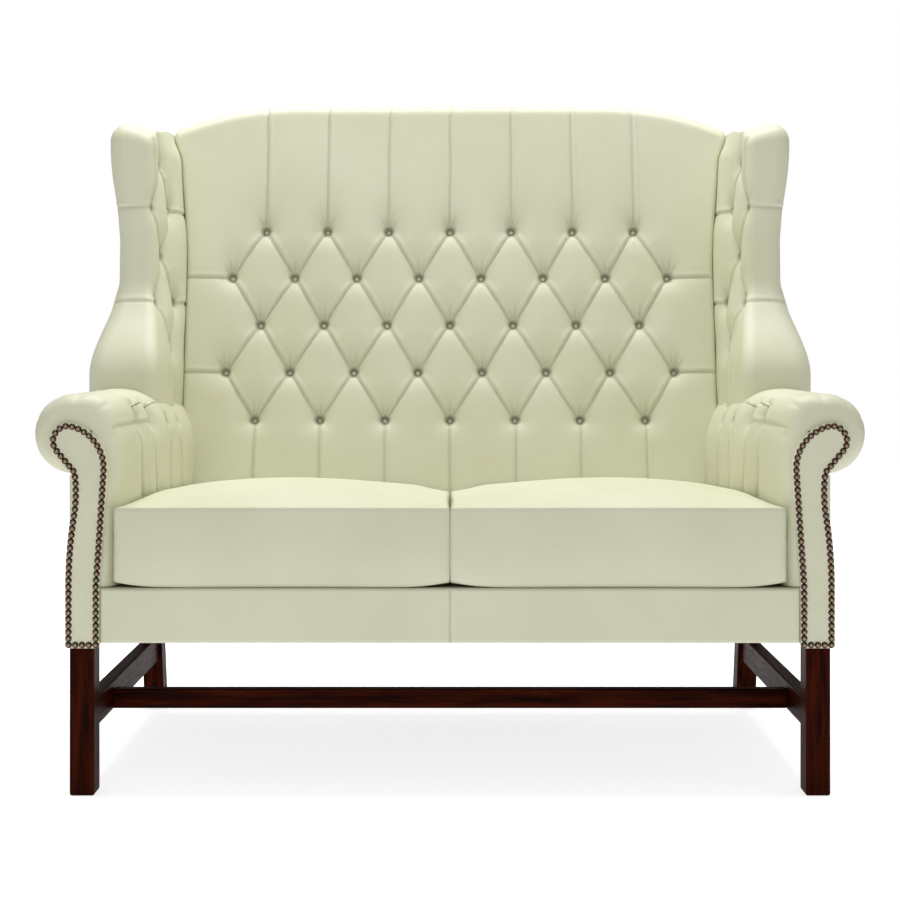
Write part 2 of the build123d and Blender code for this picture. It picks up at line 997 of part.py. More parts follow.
# Wings
def wing_foot_share(height):
    """How far the wing has swept out onto the arm at this height."""
    return smooth((wing_foot_start - height) / (wing_foot_start - wing_foot_end))


def wing_outer_x(height):
    """Outside of the wing, waisted in the middle."""
    top_share = smooth(
        (height - wing_top_start) / (wing_top - wing_crown_round - wing_top_start)
    )
    return (
        wing_waist_x
        + wing_foot_flare * wing_foot_share(height)
        + wing_top_flare * top_share
    )


def wing_front(height):
    """Setback of the front edge of the wing."""
    return wing_front_setback - wing_front_sweep * wing_foot_share(height)


def wing_inner_x(height):
    """Inner front corner of the wing."""
    return wing_inner_front_x - wing_inner_sweep * wing_foot_share(height)


def wing_section(height, shrink):
    """Level section of the wing padding, drawn in near its rounded top."""
    tighter = shrink / 4
    inner = wing_inner_x(height) + tighter
    outer = wing_outer_x(height) - outside_wing_thickness - seat_gap - shrink
    inner_round = wing_inner_round - tighter
    outer_round = wing_outer_round - tighter
    front = y(wing_front(height) + shrink)
    rear = y(back_depth(height, frame_rear - seat_gap))
    joint = y(back_depth(height, 0))
    slant = 1 - sqrt(0.5)
    nose = bend(
        (inner, front + inner_round),
        (inner + inner_round * slant, front + inner_round * slant),
        (inner + inner_round, front),
        edge_facets,
    )
    edge = bend(
        (outer - outer_round, front),
        (outer - outer_round * slant, front + outer_round * slant),
        (outer, front + outer_round),
        edge_facets,
    )
    with BuildLine() as outline:
        Polyline(
            (wing_rear_half, rear),
            (wing_rear_half, joint),
            *nose,
            *edge,
            (outer, rear),
            close=True,
        )
    return make_face(outline.edges(), mode=Mode.PRIVATE)


def wing_skin(height):
    """Level section of the cover on the outside of the wing."""
    outer = wing_outer_x(height)
    front = y(wing_front(height) + wing_panel_setback)
    rear = y(back_depth(height, frame_rear - seat_gap))
    with BuildLine() as outline:
        Polyline(
            (outer - outside_wing_thickness, front),
            (outer, front),
            (outer, rear),
            (outer - outside_wing_thickness, rear),
            close=True,
        )
    return make_face(outline.edges(), mode=Mode.PRIVATE)


def wing_spot(column, row):
    """Tuft on the inner face of the wing, by column from the middle and row from below."""
    height = wing_tuft_low_row + row * wing_tuft_row_pitch
    setback = wing_tuft_middle + column * wing_tuft_columns
    front = wing_front(height) + wing_inner_round
    share = (setback - front) / (back_depth(height, 0) - front)
    x = wing_inner_x(height) + (wing_rear_half - wing_inner_x(height)) * share
    return Vector(x, y(setback), height)


wing_shoulder = wing_top - wing_crown_round
wing_steps = round((wing_shoulder - wing_foot) / wing_step)
wing_levels = [
    wing_foot + (wing_shoulder - wing_foot) * n / wing_steps
    for n in range(wing_steps + 1)
]
wing_sections = [Plane.XY.offset(z) * wing_section(z, 0) for z in wing_levels]
for turn in (25, 50, 75):
    lift = wing_crown_round * sin(radians(turn)) / sin(radians(75))
    shrink = wing_crown_round * (1 - cos(radians(turn)))
    level = wing_shoulder + lift
    wing_sections.append(Plane.XY.offset(level) * wing_section(level, shrink))
wing_face = wing_spot(1, wing_tuft_rows // 2) - wing_spot(0, wing_tuft_rows // 2)
wing_outward = wing_face.cross(Vector(0, 0, -1)).normalized()
wing_buttons = [(0, 0), (-1, 1), (1, 1), (0, 2), (-1, 3), (1, 3), (0, 4)]
wing_lines = [
    ((0, 0), (-1, 1)),
    ((0, 0), (1, 1)),
    ((-1, 1), (0, 2)),
    ((1, 1), (0, 2)),
    ((0, 2), (-1, 3)),
    ((0, 2), (1, 3)),
    ((-1, 3), (0, 4)),
    ((1, 3), (0, 4)),
    ((0, 4), (0, 5)),
    ((-1, 1), (-3, 1)),
    ((-1, 3), (-3, 3)),
]
wing_cutters = [
    groove(
        wing_spot(*start),
        wing_spot(*end),
        wing_outward,
        wing_tuft_half_width,
        wing_tuft_depth,
    )
    for start, end in wing_lines
]


def wing_button_place(spot, sunk):
    """Frame of a button on the inner face of the wing."""
    plane = Plane(origin=wing_spot(*spot), x_dir=(0, 0, 1), z_dir=wing_outward)
    return plane.offset(-sunk).location


wing_hollows = placed(
    dimple(wing_dimple_depth), [wing_button_place(spot, 0) for spot in wing_buttons]
)
arm_room = arm_form([(arm_lip_reach, -seat_gap, 0), (arm_end, -seat_gap, 0)])
with BuildPart() as wing_pad:
    loft(wing_sections, ruled=True)
    add([arm_room, frame_room], mode=Mode.SUBTRACT)
    add(frame_slots(seat_gap), mode=Mode.SUBTRACT)
    add(wing_cutters, mode=Mode.SUBTRACT)
    add(wing_hollows, mode=Mode.SUBTRACT)
save_pair(wing_pad.part, "wing_pad")
save_pair(
    placed(
        stud(button_radius, button_height, button_sides),
        [wing_button_place(spot, wing_dimple_depth - seat_gap) for spot in wing_buttons],
    ),
    "wing_buttons",
)
skin_sections = [Plane.XY.offset(z) * wing_skin(z) for z in wing_levels]
with BuildPart() as outside_wing:
    loft(skin_sections, ruled=True)
    add(arm_room, mode=Mode.SUBTRACT)
save_pair(outside_wing.part, "outside_wing")


# Seat cushions
def cushion_corners(level, inward):
    """Corners of the right cushion at a level above the platform, drawn inward all round."""
    height = platform_front_height - seat_depth * tan(slope) + level
    lean = level * sin(slope)
    inner = cushion_gap / 2 + inward
    front = cushion_setback + inward - lean
    rear = back_depth(height, 0) - cushion_gap - inward - lean
    front_outer = arm_inner_x(front) - cushion_gap - inward
    rear_outer = arm_inner_x(rear) - cushion_gap - inward
    plan = ((inner, front), (front_outer, front), (rear_outer, rear), (inner, rear))
    return [seat_plane.from_local_coords(Vector(x, back, level)) for x, back in plan]


def cushion_form(skin):
    """Cushion with a flat foot, boxed sides and a crown, drawn in by a skin all round."""
    top = cushion_upper_seam - skin
    levels = [
        (seat_gap + skin, cushion_foot_inset),
        (cushion_lower_seam + skin, 0),
        (top, 0),
    ]
    for rise_share, reach_share in cushion_crown_steps:
        crown_level = top + cushion_crown * rise_share
        levels.append((crown_level, cushion_crown_reach * reach_share))
    rings = [cushion_corners(level, inward + skin) for level, inward in levels]
    outlines = [rings[0], rings[-1]]
    for lower, upper in zip(rings, rings[1:]):
        for n in range(len(lower)):
            after = (n + 1) % len(lower)
            outlines.append([lower[n], lower[after], upper[after], upper[n]])
    panels = [Face(Wire.make_polygon(outline)) for outline in outlines]
    with BuildPart() as form:
        add(Solid(Shell(panels)))
    return form.part


def zip_room(clearance):
    """Strip across the rear side of the cushion where its zip lies."""
    middle_x = (seat_half_rear + cushion_gap) / 2
    middle_level = (cushion_lower_seam + cushion_upper_seam) / 2
    with BuildPart() as strip:
        with Locations(seat_plane.location * Location((middle_x, seat_depth, middle_level))):
            Box(
                zip_length + 2 * clearance,
                seat_depth / 2,
                zip_height + 2 * clearance,
            )
    return strip.part


cushion_outside = cushion_form(0)
cushion_inside = cushion_form(cover_thickness)
cushion_zip_room = zip_room(0)
cushion_slot = zip_room(seat_gap)
with BuildPart() as cushion_cover:
    add(cushion_outside)
    add([cushion_inside, cushion_slot], mode=Mode.SUBTRACT)
save_pair(cushion_cover.part, "seat_cushion_cover")
with BuildPart() as cushion_zip:
    add(cushion_outside)
    add(cushion_inside, mode=Mode.SUBTRACT)
    add(cushion_zip_room, mode=Mode.INTERSECT)
save_pair(cushion_zip.part, "seat_cushion_zip")
save_pair(cushion_form(cover_thickness + seat_gap), "seat_cushion_core")
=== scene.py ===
"""Looks of a two-seat wing sofa with a deep-buttoned back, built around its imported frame.

Shapes are worked out in millimetres, as a maker would measure them, and turned to metres
when a mesh is made. A setback is counted from the front of the arm facings.
"""

import json
from math import acos, cos, pi, radians, sin, tan

import bmesh
import bpy
import numpy as np
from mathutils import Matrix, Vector


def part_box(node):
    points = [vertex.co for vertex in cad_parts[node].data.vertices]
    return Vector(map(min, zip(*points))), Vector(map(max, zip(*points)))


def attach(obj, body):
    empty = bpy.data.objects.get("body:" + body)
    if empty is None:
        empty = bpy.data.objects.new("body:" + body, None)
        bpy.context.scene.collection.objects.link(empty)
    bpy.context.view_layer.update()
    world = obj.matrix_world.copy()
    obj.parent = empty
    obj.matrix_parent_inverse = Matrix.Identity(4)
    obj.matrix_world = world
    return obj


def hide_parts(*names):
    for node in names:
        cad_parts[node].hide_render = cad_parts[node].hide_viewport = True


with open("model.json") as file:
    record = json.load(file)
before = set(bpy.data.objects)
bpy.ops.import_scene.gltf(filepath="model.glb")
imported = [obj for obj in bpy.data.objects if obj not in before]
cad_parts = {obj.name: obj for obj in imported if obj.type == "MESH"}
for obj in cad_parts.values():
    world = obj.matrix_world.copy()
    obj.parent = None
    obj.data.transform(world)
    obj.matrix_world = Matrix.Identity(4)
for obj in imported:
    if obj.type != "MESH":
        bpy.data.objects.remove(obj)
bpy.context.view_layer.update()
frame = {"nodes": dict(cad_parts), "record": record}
nodes = frame["nodes"]

MM = 0.001
SOFA = "sofa_frame"
hands = (("left", -1), ("right", 1))

# Places shared with the frame
facing_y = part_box("arm_facing_right")[0].y / MM
rake = radians(11)
slope = radians(2.45)
seat_line = 470
seat_depth = 520
platform_height = 341
back_half = 533
back_frame_depth = 123
seat_half_front = 553
seat_half_rear = 505
clearance = 0.3

# Photograph's view
eye_height = 738
eye_distance = 2500
image_size = 900
focal_pixels = 1533.7
horizon_pixel = 345
sensor_width = 36


def back_depth(height, behind):
    """Setback, at a height, of the plane this far behind the front of the back."""
    return seat_depth + (height - seat_line) * tan(rake) + behind / cos(rake)


def smooth(share):
    """Eased step from 0 to 1."""
    held = np.clip(share, 0, 1)
    return held * held * (3 - 2 * held)


# Meshes
def quads(index, wrap=False):
    """Quads of a grid of point numbers, joined round across the columns if it wraps."""
    if wrap:
        index = np.concatenate([index, index[:, :1]], axis=1)
    corners = (index[:-1, :-1], index[:-1, 1:], index[1:, 1:], index[1:, :-1])
    return np.stack(corners, axis=-1).reshape(-1, 4)


def new_object(name, mesh):
    """Object of a mesh, in the scene."""
    made = bpy.data.objects.new(name, mesh)
    bpy.context.scene.collection.objects.link(made)
    return made


def closed_mesh(name, points, faces):
    """Mesh of points in millimetres, with its open ends filled and its faces turned outwards."""
    mesh = bpy.data.meshes.new(name)
    mesh.from_pydata((np.asarray(points) * MM).tolist(), [], np.asarray(faces).tolist())
    shell = bmesh.new()
    shell.from_mesh(mesh)
    rim = [edge for edge in shell.edges if edge.is_boundary]
    if rim:
        bmesh.ops.holes_fill(shell, edges=rim, sides=0)
    bmesh.ops.recalc_face_normals(shell, faces=shell.faces)
    shell.to_mesh(mesh)
    shell.free()
    mesh.polygons.foreach_set("use_smooth", [True] * len(mesh.polygons))
    return mesh


def upholstered(name, points, faces, fold, material):
    """Covered piece, with how much painted shade each of its points takes in creases, seams and
    button hollows.
    """
    mesh = closed_mesh(name, points, faces)
    # Painted shade of each point, kept as the "fold" value that the hide reads
    shade = mesh.attributes.new("fold", "FLOAT", "POINT")
    shade.data.foreach_set("value", fold.reshape(-1).astype(np.float32))
    mesh.materials.append(material)
    return new_object(name, mesh)


def padded_grid(name, grid, fold, material, wrap=False):
    """Covered piece from a grid of points."""
    index = np.arange(fold.size).reshape(fold.shape)
    return upholstered(name, grid.reshape(-1, 3), quads(index, wrap), fold, material)


def read_along(values, at, wanted):
    """Values of each column of a grid, read at other places along that column."""
    if values.ndim == 3:
        layers = [read_along(layer, at, wanted) for layer in np.moveaxis(values, -1, 0)]
        return np.stack(layers, axis=-1)
    columns = [np.interp(wanted[:, n], at, values[:, n]) for n in range(values.shape[1])]
    return np.stack(columns, axis=1)


def outline_frame(curves):
    """Unit tangents of a stack of outlines, and the girth run along each."""
    tangent = np.gradient(curves, axis=1)
    tangent /= np.linalg.norm(tangent, axis=2, keepdims=True)
    steps = np.linalg.norm(np.diff(curves, axis=1), axis=2)
    girth = np.concatenate([np.zeros((len(curves), 1)), np.cumsum(steps, axis=1)], axis=1)
    return tangent, girth


def sided(points, hand):
    """Points of the right side, mirrored if the hand is the left one."""
    return points * np.array([hand, 1, 1])


# Folds and hollows of the upholstery
pleat_seam_width = 2.1
pleat_lip_height = 1.5
pleat_lip_place = 6.5
pleat_lip_width = 3.6
hollow_stretch = 0.62
hollow_squeeze = 1.35
hollow_power = 1.35
button_rim = 9.5
pit_rise, pit_margin = 2, 0.5
pucker_count, pucker_turn = 15, 0.02
pucker_height, pucker_place, pucker_reach = 2.2, 20, 11
pucker_slope, pucker_start = 4, 2.9
fan_height, fan_root, fan_spread = 27, 8, 0.3
fan_shade, streak_least = 0.5, 0.65
level_pleat_share = 0.2
wander_waves = 6
wander_shortest, wander_longest = 0.7, 1.5


def creased(across, along, creases, seam_depth):
    """Depth of the padding below its full height, and how deep in a crease each point is."""
    depth, seam, lip = [np.zeros_like(across) for _ in range(3)]
    for start, end, crease_depth, width in creases:
        reach_x, reach_y = end[0] - start[0], end[1] - start[1]
        aside, beyond = across - start[0], along - start[1]
        share = (aside * reach_x + beyond * reach_y) / (reach_x**2 + reach_y**2)
        share = np.clip(share, 0, 1)
        apart = np.hypot(aside - share * reach_x, beyond - share * reach_y)
        depth = np.maximum(depth, crease_depth * np.exp(-apart / width))
        seam = np.maximum(seam, np.exp(-((apart / pleat_seam_width) ** 2)))
        level = abs(reach_x) > abs(reach_y) * level_pleat_share
        above = (reach_x * beyond - reach_y * aside) * (reach_x if level else -reach_y) > 0
        raised = np.exp(-(((apart - pleat_lip_place) / pleat_lip_width) ** 2))
        lip = np.maximum(lip, np.where(above, raised, 0))
    return depth + seam_depth * seam - pleat_lip_height * lip, seam


def hollowed(across, along, buttons, hollow_depth, hollow_width, rim_depth):
    """Depth of the hollows that the buttons are drawn into, and their shade."""
    depth = np.zeros_like(across)
    shade = np.zeros_like(across)
    for button_x, button_y in buttons:
        aside, above = across - button_x, along - button_y
        apart = np.hypot(aside, above)
        drawn = np.hypot(aside, above * np.where(above > 0, hollow_stretch, hollow_squeeze))
        wide = hollow_depth * np.exp(-((drawn / hollow_width) ** hollow_power))
        steep = rim_depth * np.exp(-((apart / button_rim) ** 4))
        bearing = np.arctan2(above, aside)
        pucker = np.cos(pucker_count * (bearing - pi / 2) + pucker_turn * button_x)
        near = np.exp(-(((apart - pucker_place) / pucker_reach) ** 2))
        near = near * smooth(pucker_slope * np.sin(bearing) - pucker_start)
        depth = np.maximum(depth, wide + steep + pucker_height * pucker * near)
        # Painted shade: a dark ring round each button, set a little above it, and a streaked fan
        # over the slope above it, which faces down away from the light
        pit = np.hypot(aside, above - pit_rise)
        shade = np.maximum(shade, np.exp(-((pit / (button_rim + pit_margin)) ** 4)))
        rise = np.maximum(above, 0)
        spread = fan_root + fan_spread * rise
        plume = np.exp(-((aside / spread) ** 2) - (rise / fan_height) ** 2)
        streak = streak_least + (1 - streak_least) * pucker
        shade = np.maximum(shade, np.where(above > 0, fan_shade * plume * streak, 0))
    return depth, shade


def wandering(across, along, wavelength, height, seed):
    """Slow unevenness of stuffed hide."""
    draw = np.random.default_rng(seed)
    total = np.zeros_like(across)
    for _ in range(wander_waves):
        turn = draw.uniform(0, 2 * pi)
        length = wavelength * draw.uniform(wander_shortest, wander_longest)
        phase = draw.uniform(0, 2 * pi)
        total += np.sin(2 * pi * (across * cos(turn) + along * sin(turn)) / length + phase)
    return total * height / wander_waves


# Shader groups
def wire(tree, node, inputs):
    """Feed a node's inputs from other nodes, or with constants."""
    for label, value in inputs.items():
        if isinstance(value, bpy.types.NodeSocket):
            tree.links.new(value, node.inputs[label])
        else:
            node.inputs[label].default_value = value


def add(tree, kind, inputs, **settings):
    """New node with its settings and its inputs."""
    node = tree.nodes.new(kind)
    for label, value in settings.items():
        setattr(node, label, value)
    wire(tree, node, inputs)
    return node


def noise(tree, vector, scale, detail, roughness=0.5):
    """Noise texture on a vector."""
    inputs = {"Vector": vector, "Scale": scale, "Detail": detail, "Roughness": roughness}
    return add(tree, "ShaderNodeTexNoise", inputs).outputs["Fac"]


def maths(tree, operation, first, second):
    """Maths on two sockets or numbers."""
    return add(tree, "ShaderNodeMath", {0: first, 1: second}, operation=operation).outputs[0]


def mix_colour(tree, share, first, second):
    """Mix of two colours, each a socket or a value."""
    inputs = {0: share, 6: first, 7: second}
    return add(tree, "ShaderNodeMix", inputs, data_type="RGBA").outputs[2]


def ranged(tree, value, *limits):
    """Value moved from one range, low and high, to another."""
    labels = ("Value", "From Min", "From Max", "To Min", "To Max")
    inputs = dict(zip(labels, (value, *limits)))
    return add(tree, "ShaderNodeMapRange", inputs).outputs["Result"]


def shader_group(name, *outputs):
    """Empty shader group that turns a vector into values, with that vector and its end node."""
    tree = bpy.data.node_groups.new(name, "ShaderNodeTree")
    tree.interface.new_socket("Vector", in_out="INPUT", socket_type="NodeSocketVector")
    for label in outputs:
        tree.interface.new_socket(label, in_out="OUTPUT", socket_type="NodeSocketFloat")
    start, end = tree.nodes.new("NodeGroupInput"), tree.nodes.new("NodeGroupOutput")
    return tree, start.outputs["Vector"], end


def make_hide_grain():
    """Pebbled grain of hide: its height, its cloudy tone and its gloss."""
    tree, place, end = shader_group("hide_grain", "Height", "Tone", "Gloss")
    inputs = {"Vector": place, "Scale": 420, "Smoothness": 0.6}
    pebble = add(tree, "ShaderNodeTexVoronoi", inputs, feature="SMOOTH_F1")
    pebbles = maths(tree, "MULTIPLY", pebble.outputs["Distance"], 0.6)
    folds = maths(tree, "MULTIPLY", noise(tree, place, 95, 4, 0.6), 0.5)
    values = {
        "Height": maths(tree, "ADD", pebbles, folds),
        "Tone": ranged(tree, noise(tree, place, 5, 3), 0.3, 0.7, 0.0, 1.0),
        "Gloss": ranged(tree, noise(tree, place, 700, 2), 0.3, 0.7, 0.0, 1.0),
    }
    wire(tree, end, values)
    return tree


def make_wood_figure():
    """Straight grain with darker streaks and fine pores, along the vector's Z."""
    tree, place, end = shader_group("wood_figure", "Streak", "Pore")
    stretch = add(tree, "ShaderNodeMapping", {"Vector": place, "Scale": (1.0, 1.0, 0.07)})
    drawn = stretch.outputs["Vector"]
    values = {
        "Streak": ranged(tree, noise(tree, drawn, 85, 5, 0.6), 0.34, 0.68, 0.0, 1.0),
        "Pore": ranged(tree, noise(tree, drawn, 520, 3, 0.6), 0.45, 0.65, 0.0, 1.0),
    }
    wire(tree, end, values)
    return tree


hide_grain = make_hide_grain()
wood_figure = make_wood_figure()


# Materials
def new_material(name):
    """Material with its tree, its shader and the object's own coordinates."""
    material = bpy.data.materials.new(name)
    material.use_nodes = True
    tree = material.node_tree
    place = tree.nodes.new("ShaderNodeTexCoord").outputs["Object"]
    return material, tree, tree.nodes["Principled BSDF"], place


def group_values(tree, group, vector):
    """Values of a group that is placed in a material and fed with its vector."""
    return add(tree, "ShaderNodeGroup", {"Vector": vector}, node_tree=group).outputs


def point_value(tree, name):
    """Value that the mesh keeps for each point."""
    return add(tree, "ShaderNodeAttribute", {}, attribute_name=name).outputs["Fac"]


def relief(tree, height, distance, strength):
    """Normal of a small relief from a height."""
    inputs = {"Height": height, "Distance": distance, "Strength": strength}
    return add(tree, "ShaderNodeBump", inputs).outputs["Normal"]


# Painted shade: the dark olive that the hide is mixed toward in its creases, seams, button pits and
# above its buttons
painted_shade_colour, painted_shade_strength = (0.10, 0.095, 0.05, 1), 0.75
wood_turns = {"X": (0, radians(90), 0), "Y": (radians(90), 0, 0), "Z": (0, 0, 0)}


def make_hide(name, pale, cloudy):
    """Ivory hide with a pebbled grain, cloudy tone and painted shade in its creases, seams and
    button hollows.
    """
    material, tree, shader, place = new_material(name)
    grain = group_values(tree, hide_grain, place)
    tone = mix_colour(tree, grain["Tone"], cloudy, pale)
    # Painted shade, as strong as each point's "fold" value
    share = maths(tree, "MULTIPLY", point_value(tree, "fold"), painted_shade_strength)
    look = {
        "Base Color": mix_colour(tree, share, tone, painted_shade_colour),
        "Roughness": ranged(tree, grain["Gloss"], 0.0, 1.0, 0.4, 0.52),
        "Specular IOR Level": 0.38,
        "Normal": relief(tree, grain["Height"], 0.0007, 0.35),
    }
    wire(tree, shader, look)
    return material


def make_wood(name, dark, light, along, gloss):
    """Polished or raw wood whose grain runs along an axis."""
    material, tree, shader, place = new_material(name)
    turn = add(tree, "ShaderNodeMapping", {"Vector": place, "Rotation": wood_turns[along]})
    figure = group_values(tree, wood_figure, turn.outputs["Vector"])
    base = mix_colour(tree, figure["Streak"], dark, light)
    pores = maths(tree, "MULTIPLY", figure["Pore"], 0.35)
    look = {
        "Base Color": mix_colour(tree, pores, base, dark),
        "Roughness": ranged(tree, figure["Pore"], 0.0, 1.0, gloss, gloss + 0.12),
        "Specular IOR Level": 0.03,
        "Normal": relief(tree, figure["Pore"], 0.0003, 0.25),
    }
    wire(tree, shader, look)
    return material


def make_woods(name, dark, light, gloss):
    """The same wood with its grain along each axis."""
    return {axis: make_wood(f"{name}_{axis}", dark, light, axis, gloss) for axis in "XYZ"}


def make_bronze():
    """Antique nail bronze, dark with patina, with a painted highlight on the crown of each nail."""
    material, tree, shader, place = new_material("antique_bronze")
    worn = noise(tree, place, 260, 3)
    patina = mix_colour(tree, worn, (0.02, 0.011, 0.008, 1), (0.12, 0.07, 0.045, 1))
    # Painted highlight: the top of each nail's dome is mixed toward pale bronze
    painted_highlight = ranged(tree, point_value(tree, "crown"), 0.74, 1.0, 0.0, 0.55)
    look = {
        "Base Color": mix_colour(tree, painted_highlight, patina, (0.60, 0.45, 0.30, 1)),
        "Roughness": ranged(tree, worn, 0.3, 0.7, 0.24, 0.36),
        "Metallic": 0.9,
    }
    wire(tree, shader, look)
    return material


def make_cloth(name, dark, light):
    """Woven lining or strap with crossing threads."""
    material, tree, shader, place = new_material(name)
    inputs = {"Vector": place, "Scale": 180, "Distortion": 0.6}
    waves = [add(tree, "ShaderNodeTexWave", inputs, bands_direction=axis) for axis in "XY"]
    weave = maths(tree, "MULTIPLY", *[wave.outputs["Fac"] for wave in waves])
    look = {
        "Base Color": mix_colour(tree, weave, dark, light),
        "Roughness": ranged(tree, weave, 0.0, 1.0, 0.95, 0.8),
        "Normal": relief(tree, weave, 0.0005, 0.4),
    }
    wire(tree, shader, look)
    return material


def make_foam():
    """Open cushion foam with small cells."""
    material, tree, shader, place = new_material("cushion_foam")
    cells = noise(tree, place, 600, 3)
    look = {
        "Base Color": mix_colour(tree, cells, (0.62, 0.55, 0.36, 1), (0.82, 0.76, 0.55, 1)),
        "Roughness": ranged(tree, cells, 0.3, 0.7, 0.85, 1.0),
        "Normal": relief(tree, cells, 0.001, 0.5),
    }
    wire(tree, shader, look)
    return material


hide = make_hide("ivory_hide", (0.715, 0.715, 0.55, 1), (0.67, 0.67, 0.49, 1))
# Painted shade: the buttons' hide is a darker copy of the ivory hide, for the shaded hollows they
# sit in
shaded_button_hide = make_hide("shaded_button_hide", (0.66, 0.66, 0.50, 1), (0.58, 0.58, 0.43, 1))
mahogany = make_woods("mahogany", (0.008, 0.0008, 0.0001, 1), (0.066, 0.008, 0.0012, 1), 0.36)
beech = make_woods("beech", (0.42, 0.27, 0.14, 1), (0.60, 0.43, 0.26, 1), 0.6)
bronze = make_bronze()
strap = make_cloth("webbing_cloth", (0.02, 0.02, 0.018, 1), (0.07, 0.065, 0.055, 1))
lining = make_cloth("lining_cloth", (0.025, 0.023, 0.02, 1), (0.06, 0.056, 0.05, 1))
deck = make_cloth("deck_cloth", (0.46, 0.45, 0.33, 1), (0.60, 0.59, 0.44, 1))
foam = make_foam()
zip_tape = make_cloth("zip_tape", (0.40, 0.39, 0.30, 1), (0.62, 0.60, 0.47, 1))


# Deep-buttoned back
back_origin = np.array([0, facing_y + seat_depth, seat_line])
back_up = np.array([0, sin(rake), cos(rake)])
back_out = np.array([0, -cos(rake), sin(rake)])
crest_height = 780
wing_top = 1170
shoulder_start, shoulder_reach = 880, 21
corner_start, corner_reach = 1112, 15
crest_flat_half = 308
crest_radius = 620
back_bottom = -150
back_edge_round = 24
back_side_round = 11
back_columns = 380
back_plain_rows = 26
back_round_points = 9
back_rear_rows = 8
back_tuft_zone = (90, 562)
back_row_step = 2.7
back_swell = 2.5
back_seam_depth, back_seam_shade = 1.4, 0.34
shoulder_blend = 110
pad_thickness = 90
wall_share = 0.6
tuft_first_row = 121.5
tuft_row_pitch = 97
tuft_rows = 5
tuft_pitch_low = 129.6
tuft_pitch_high = 124.6
tuft_half_count = 3
diamond_depth, diamond_width = 5.0, 13.0
pleat_depth, pleat_width = 2.2, 9.0
hollow_depth, hollow_width, hollow_rim = 12.5, 24.0, 6.0


def crest_line(x):
    """Height up the back of the crest."""
    beyond = np.maximum(np.abs(x) - crest_flat_half, 0)
    return crest_height - crest_radius + np.sqrt(crest_radius**2 - beyond**2)


def shoulder_flare(height):
    """How far the back widens over the wings near its top."""
    slow = shoulder_reach * smooth((height - shoulder_start) / (wing_top - shoulder_start))
    quick = corner_reach * smooth((height - corner_start) / (wing_top - corner_start))
    return slow + quick


def tuft_half(row):
    """Pitches from the centre to the outermost button of a row."""
    return tuft_half_count + 0.5 * (row % 2)


def tuft_spot(row, step):
    """Button's place across and up the back."""
    pitch = tuft_pitch_low + (tuft_pitch_high - tuft_pitch_low) * row / (tuft_rows - 1)
    return step * pitch, tuft_first_row + row * tuft_row_pitch


def back_tufts():
    """Buttons of the back, and the creases between and beyond them."""
    buttons, creases = [], []
    for row in range(tuft_rows):
        steps = np.arange(-tuft_half(row), tuft_half(row) + 1)
        buttons += [tuft_spot(row, step) for step in steps]
        for step in steps if row + 1 < tuft_rows else ():
            for side in (-0.5, 0.5):
                if abs(step + side) <= tuft_half(row + 1):
                    ends = tuft_spot(row, step), tuft_spot(row + 1, step + side)
                    creases.append((*ends, diamond_depth, diamond_width))
    for step in range(-tuft_half_count, tuft_half_count + 1):
        low, high = tuft_spot(0, step), tuft_spot(tuft_rows - 1, step)
        creases.append((low, (low[0], back_bottom), pleat_depth, pleat_width))
        creases.append((high, (high[0], 2 * crest_height), pleat_depth, pleat_width))
    for row in range(1, tuft_rows, 2):
        for hand in (-1, 1):
            spot = tuft_spot(row, hand * tuft_half(row))
            edge = (hand * 2 * back_half, spot[1])
            creases.append((spot, edge, pleat_depth + 1, pleat_width))
    return buttons, creases


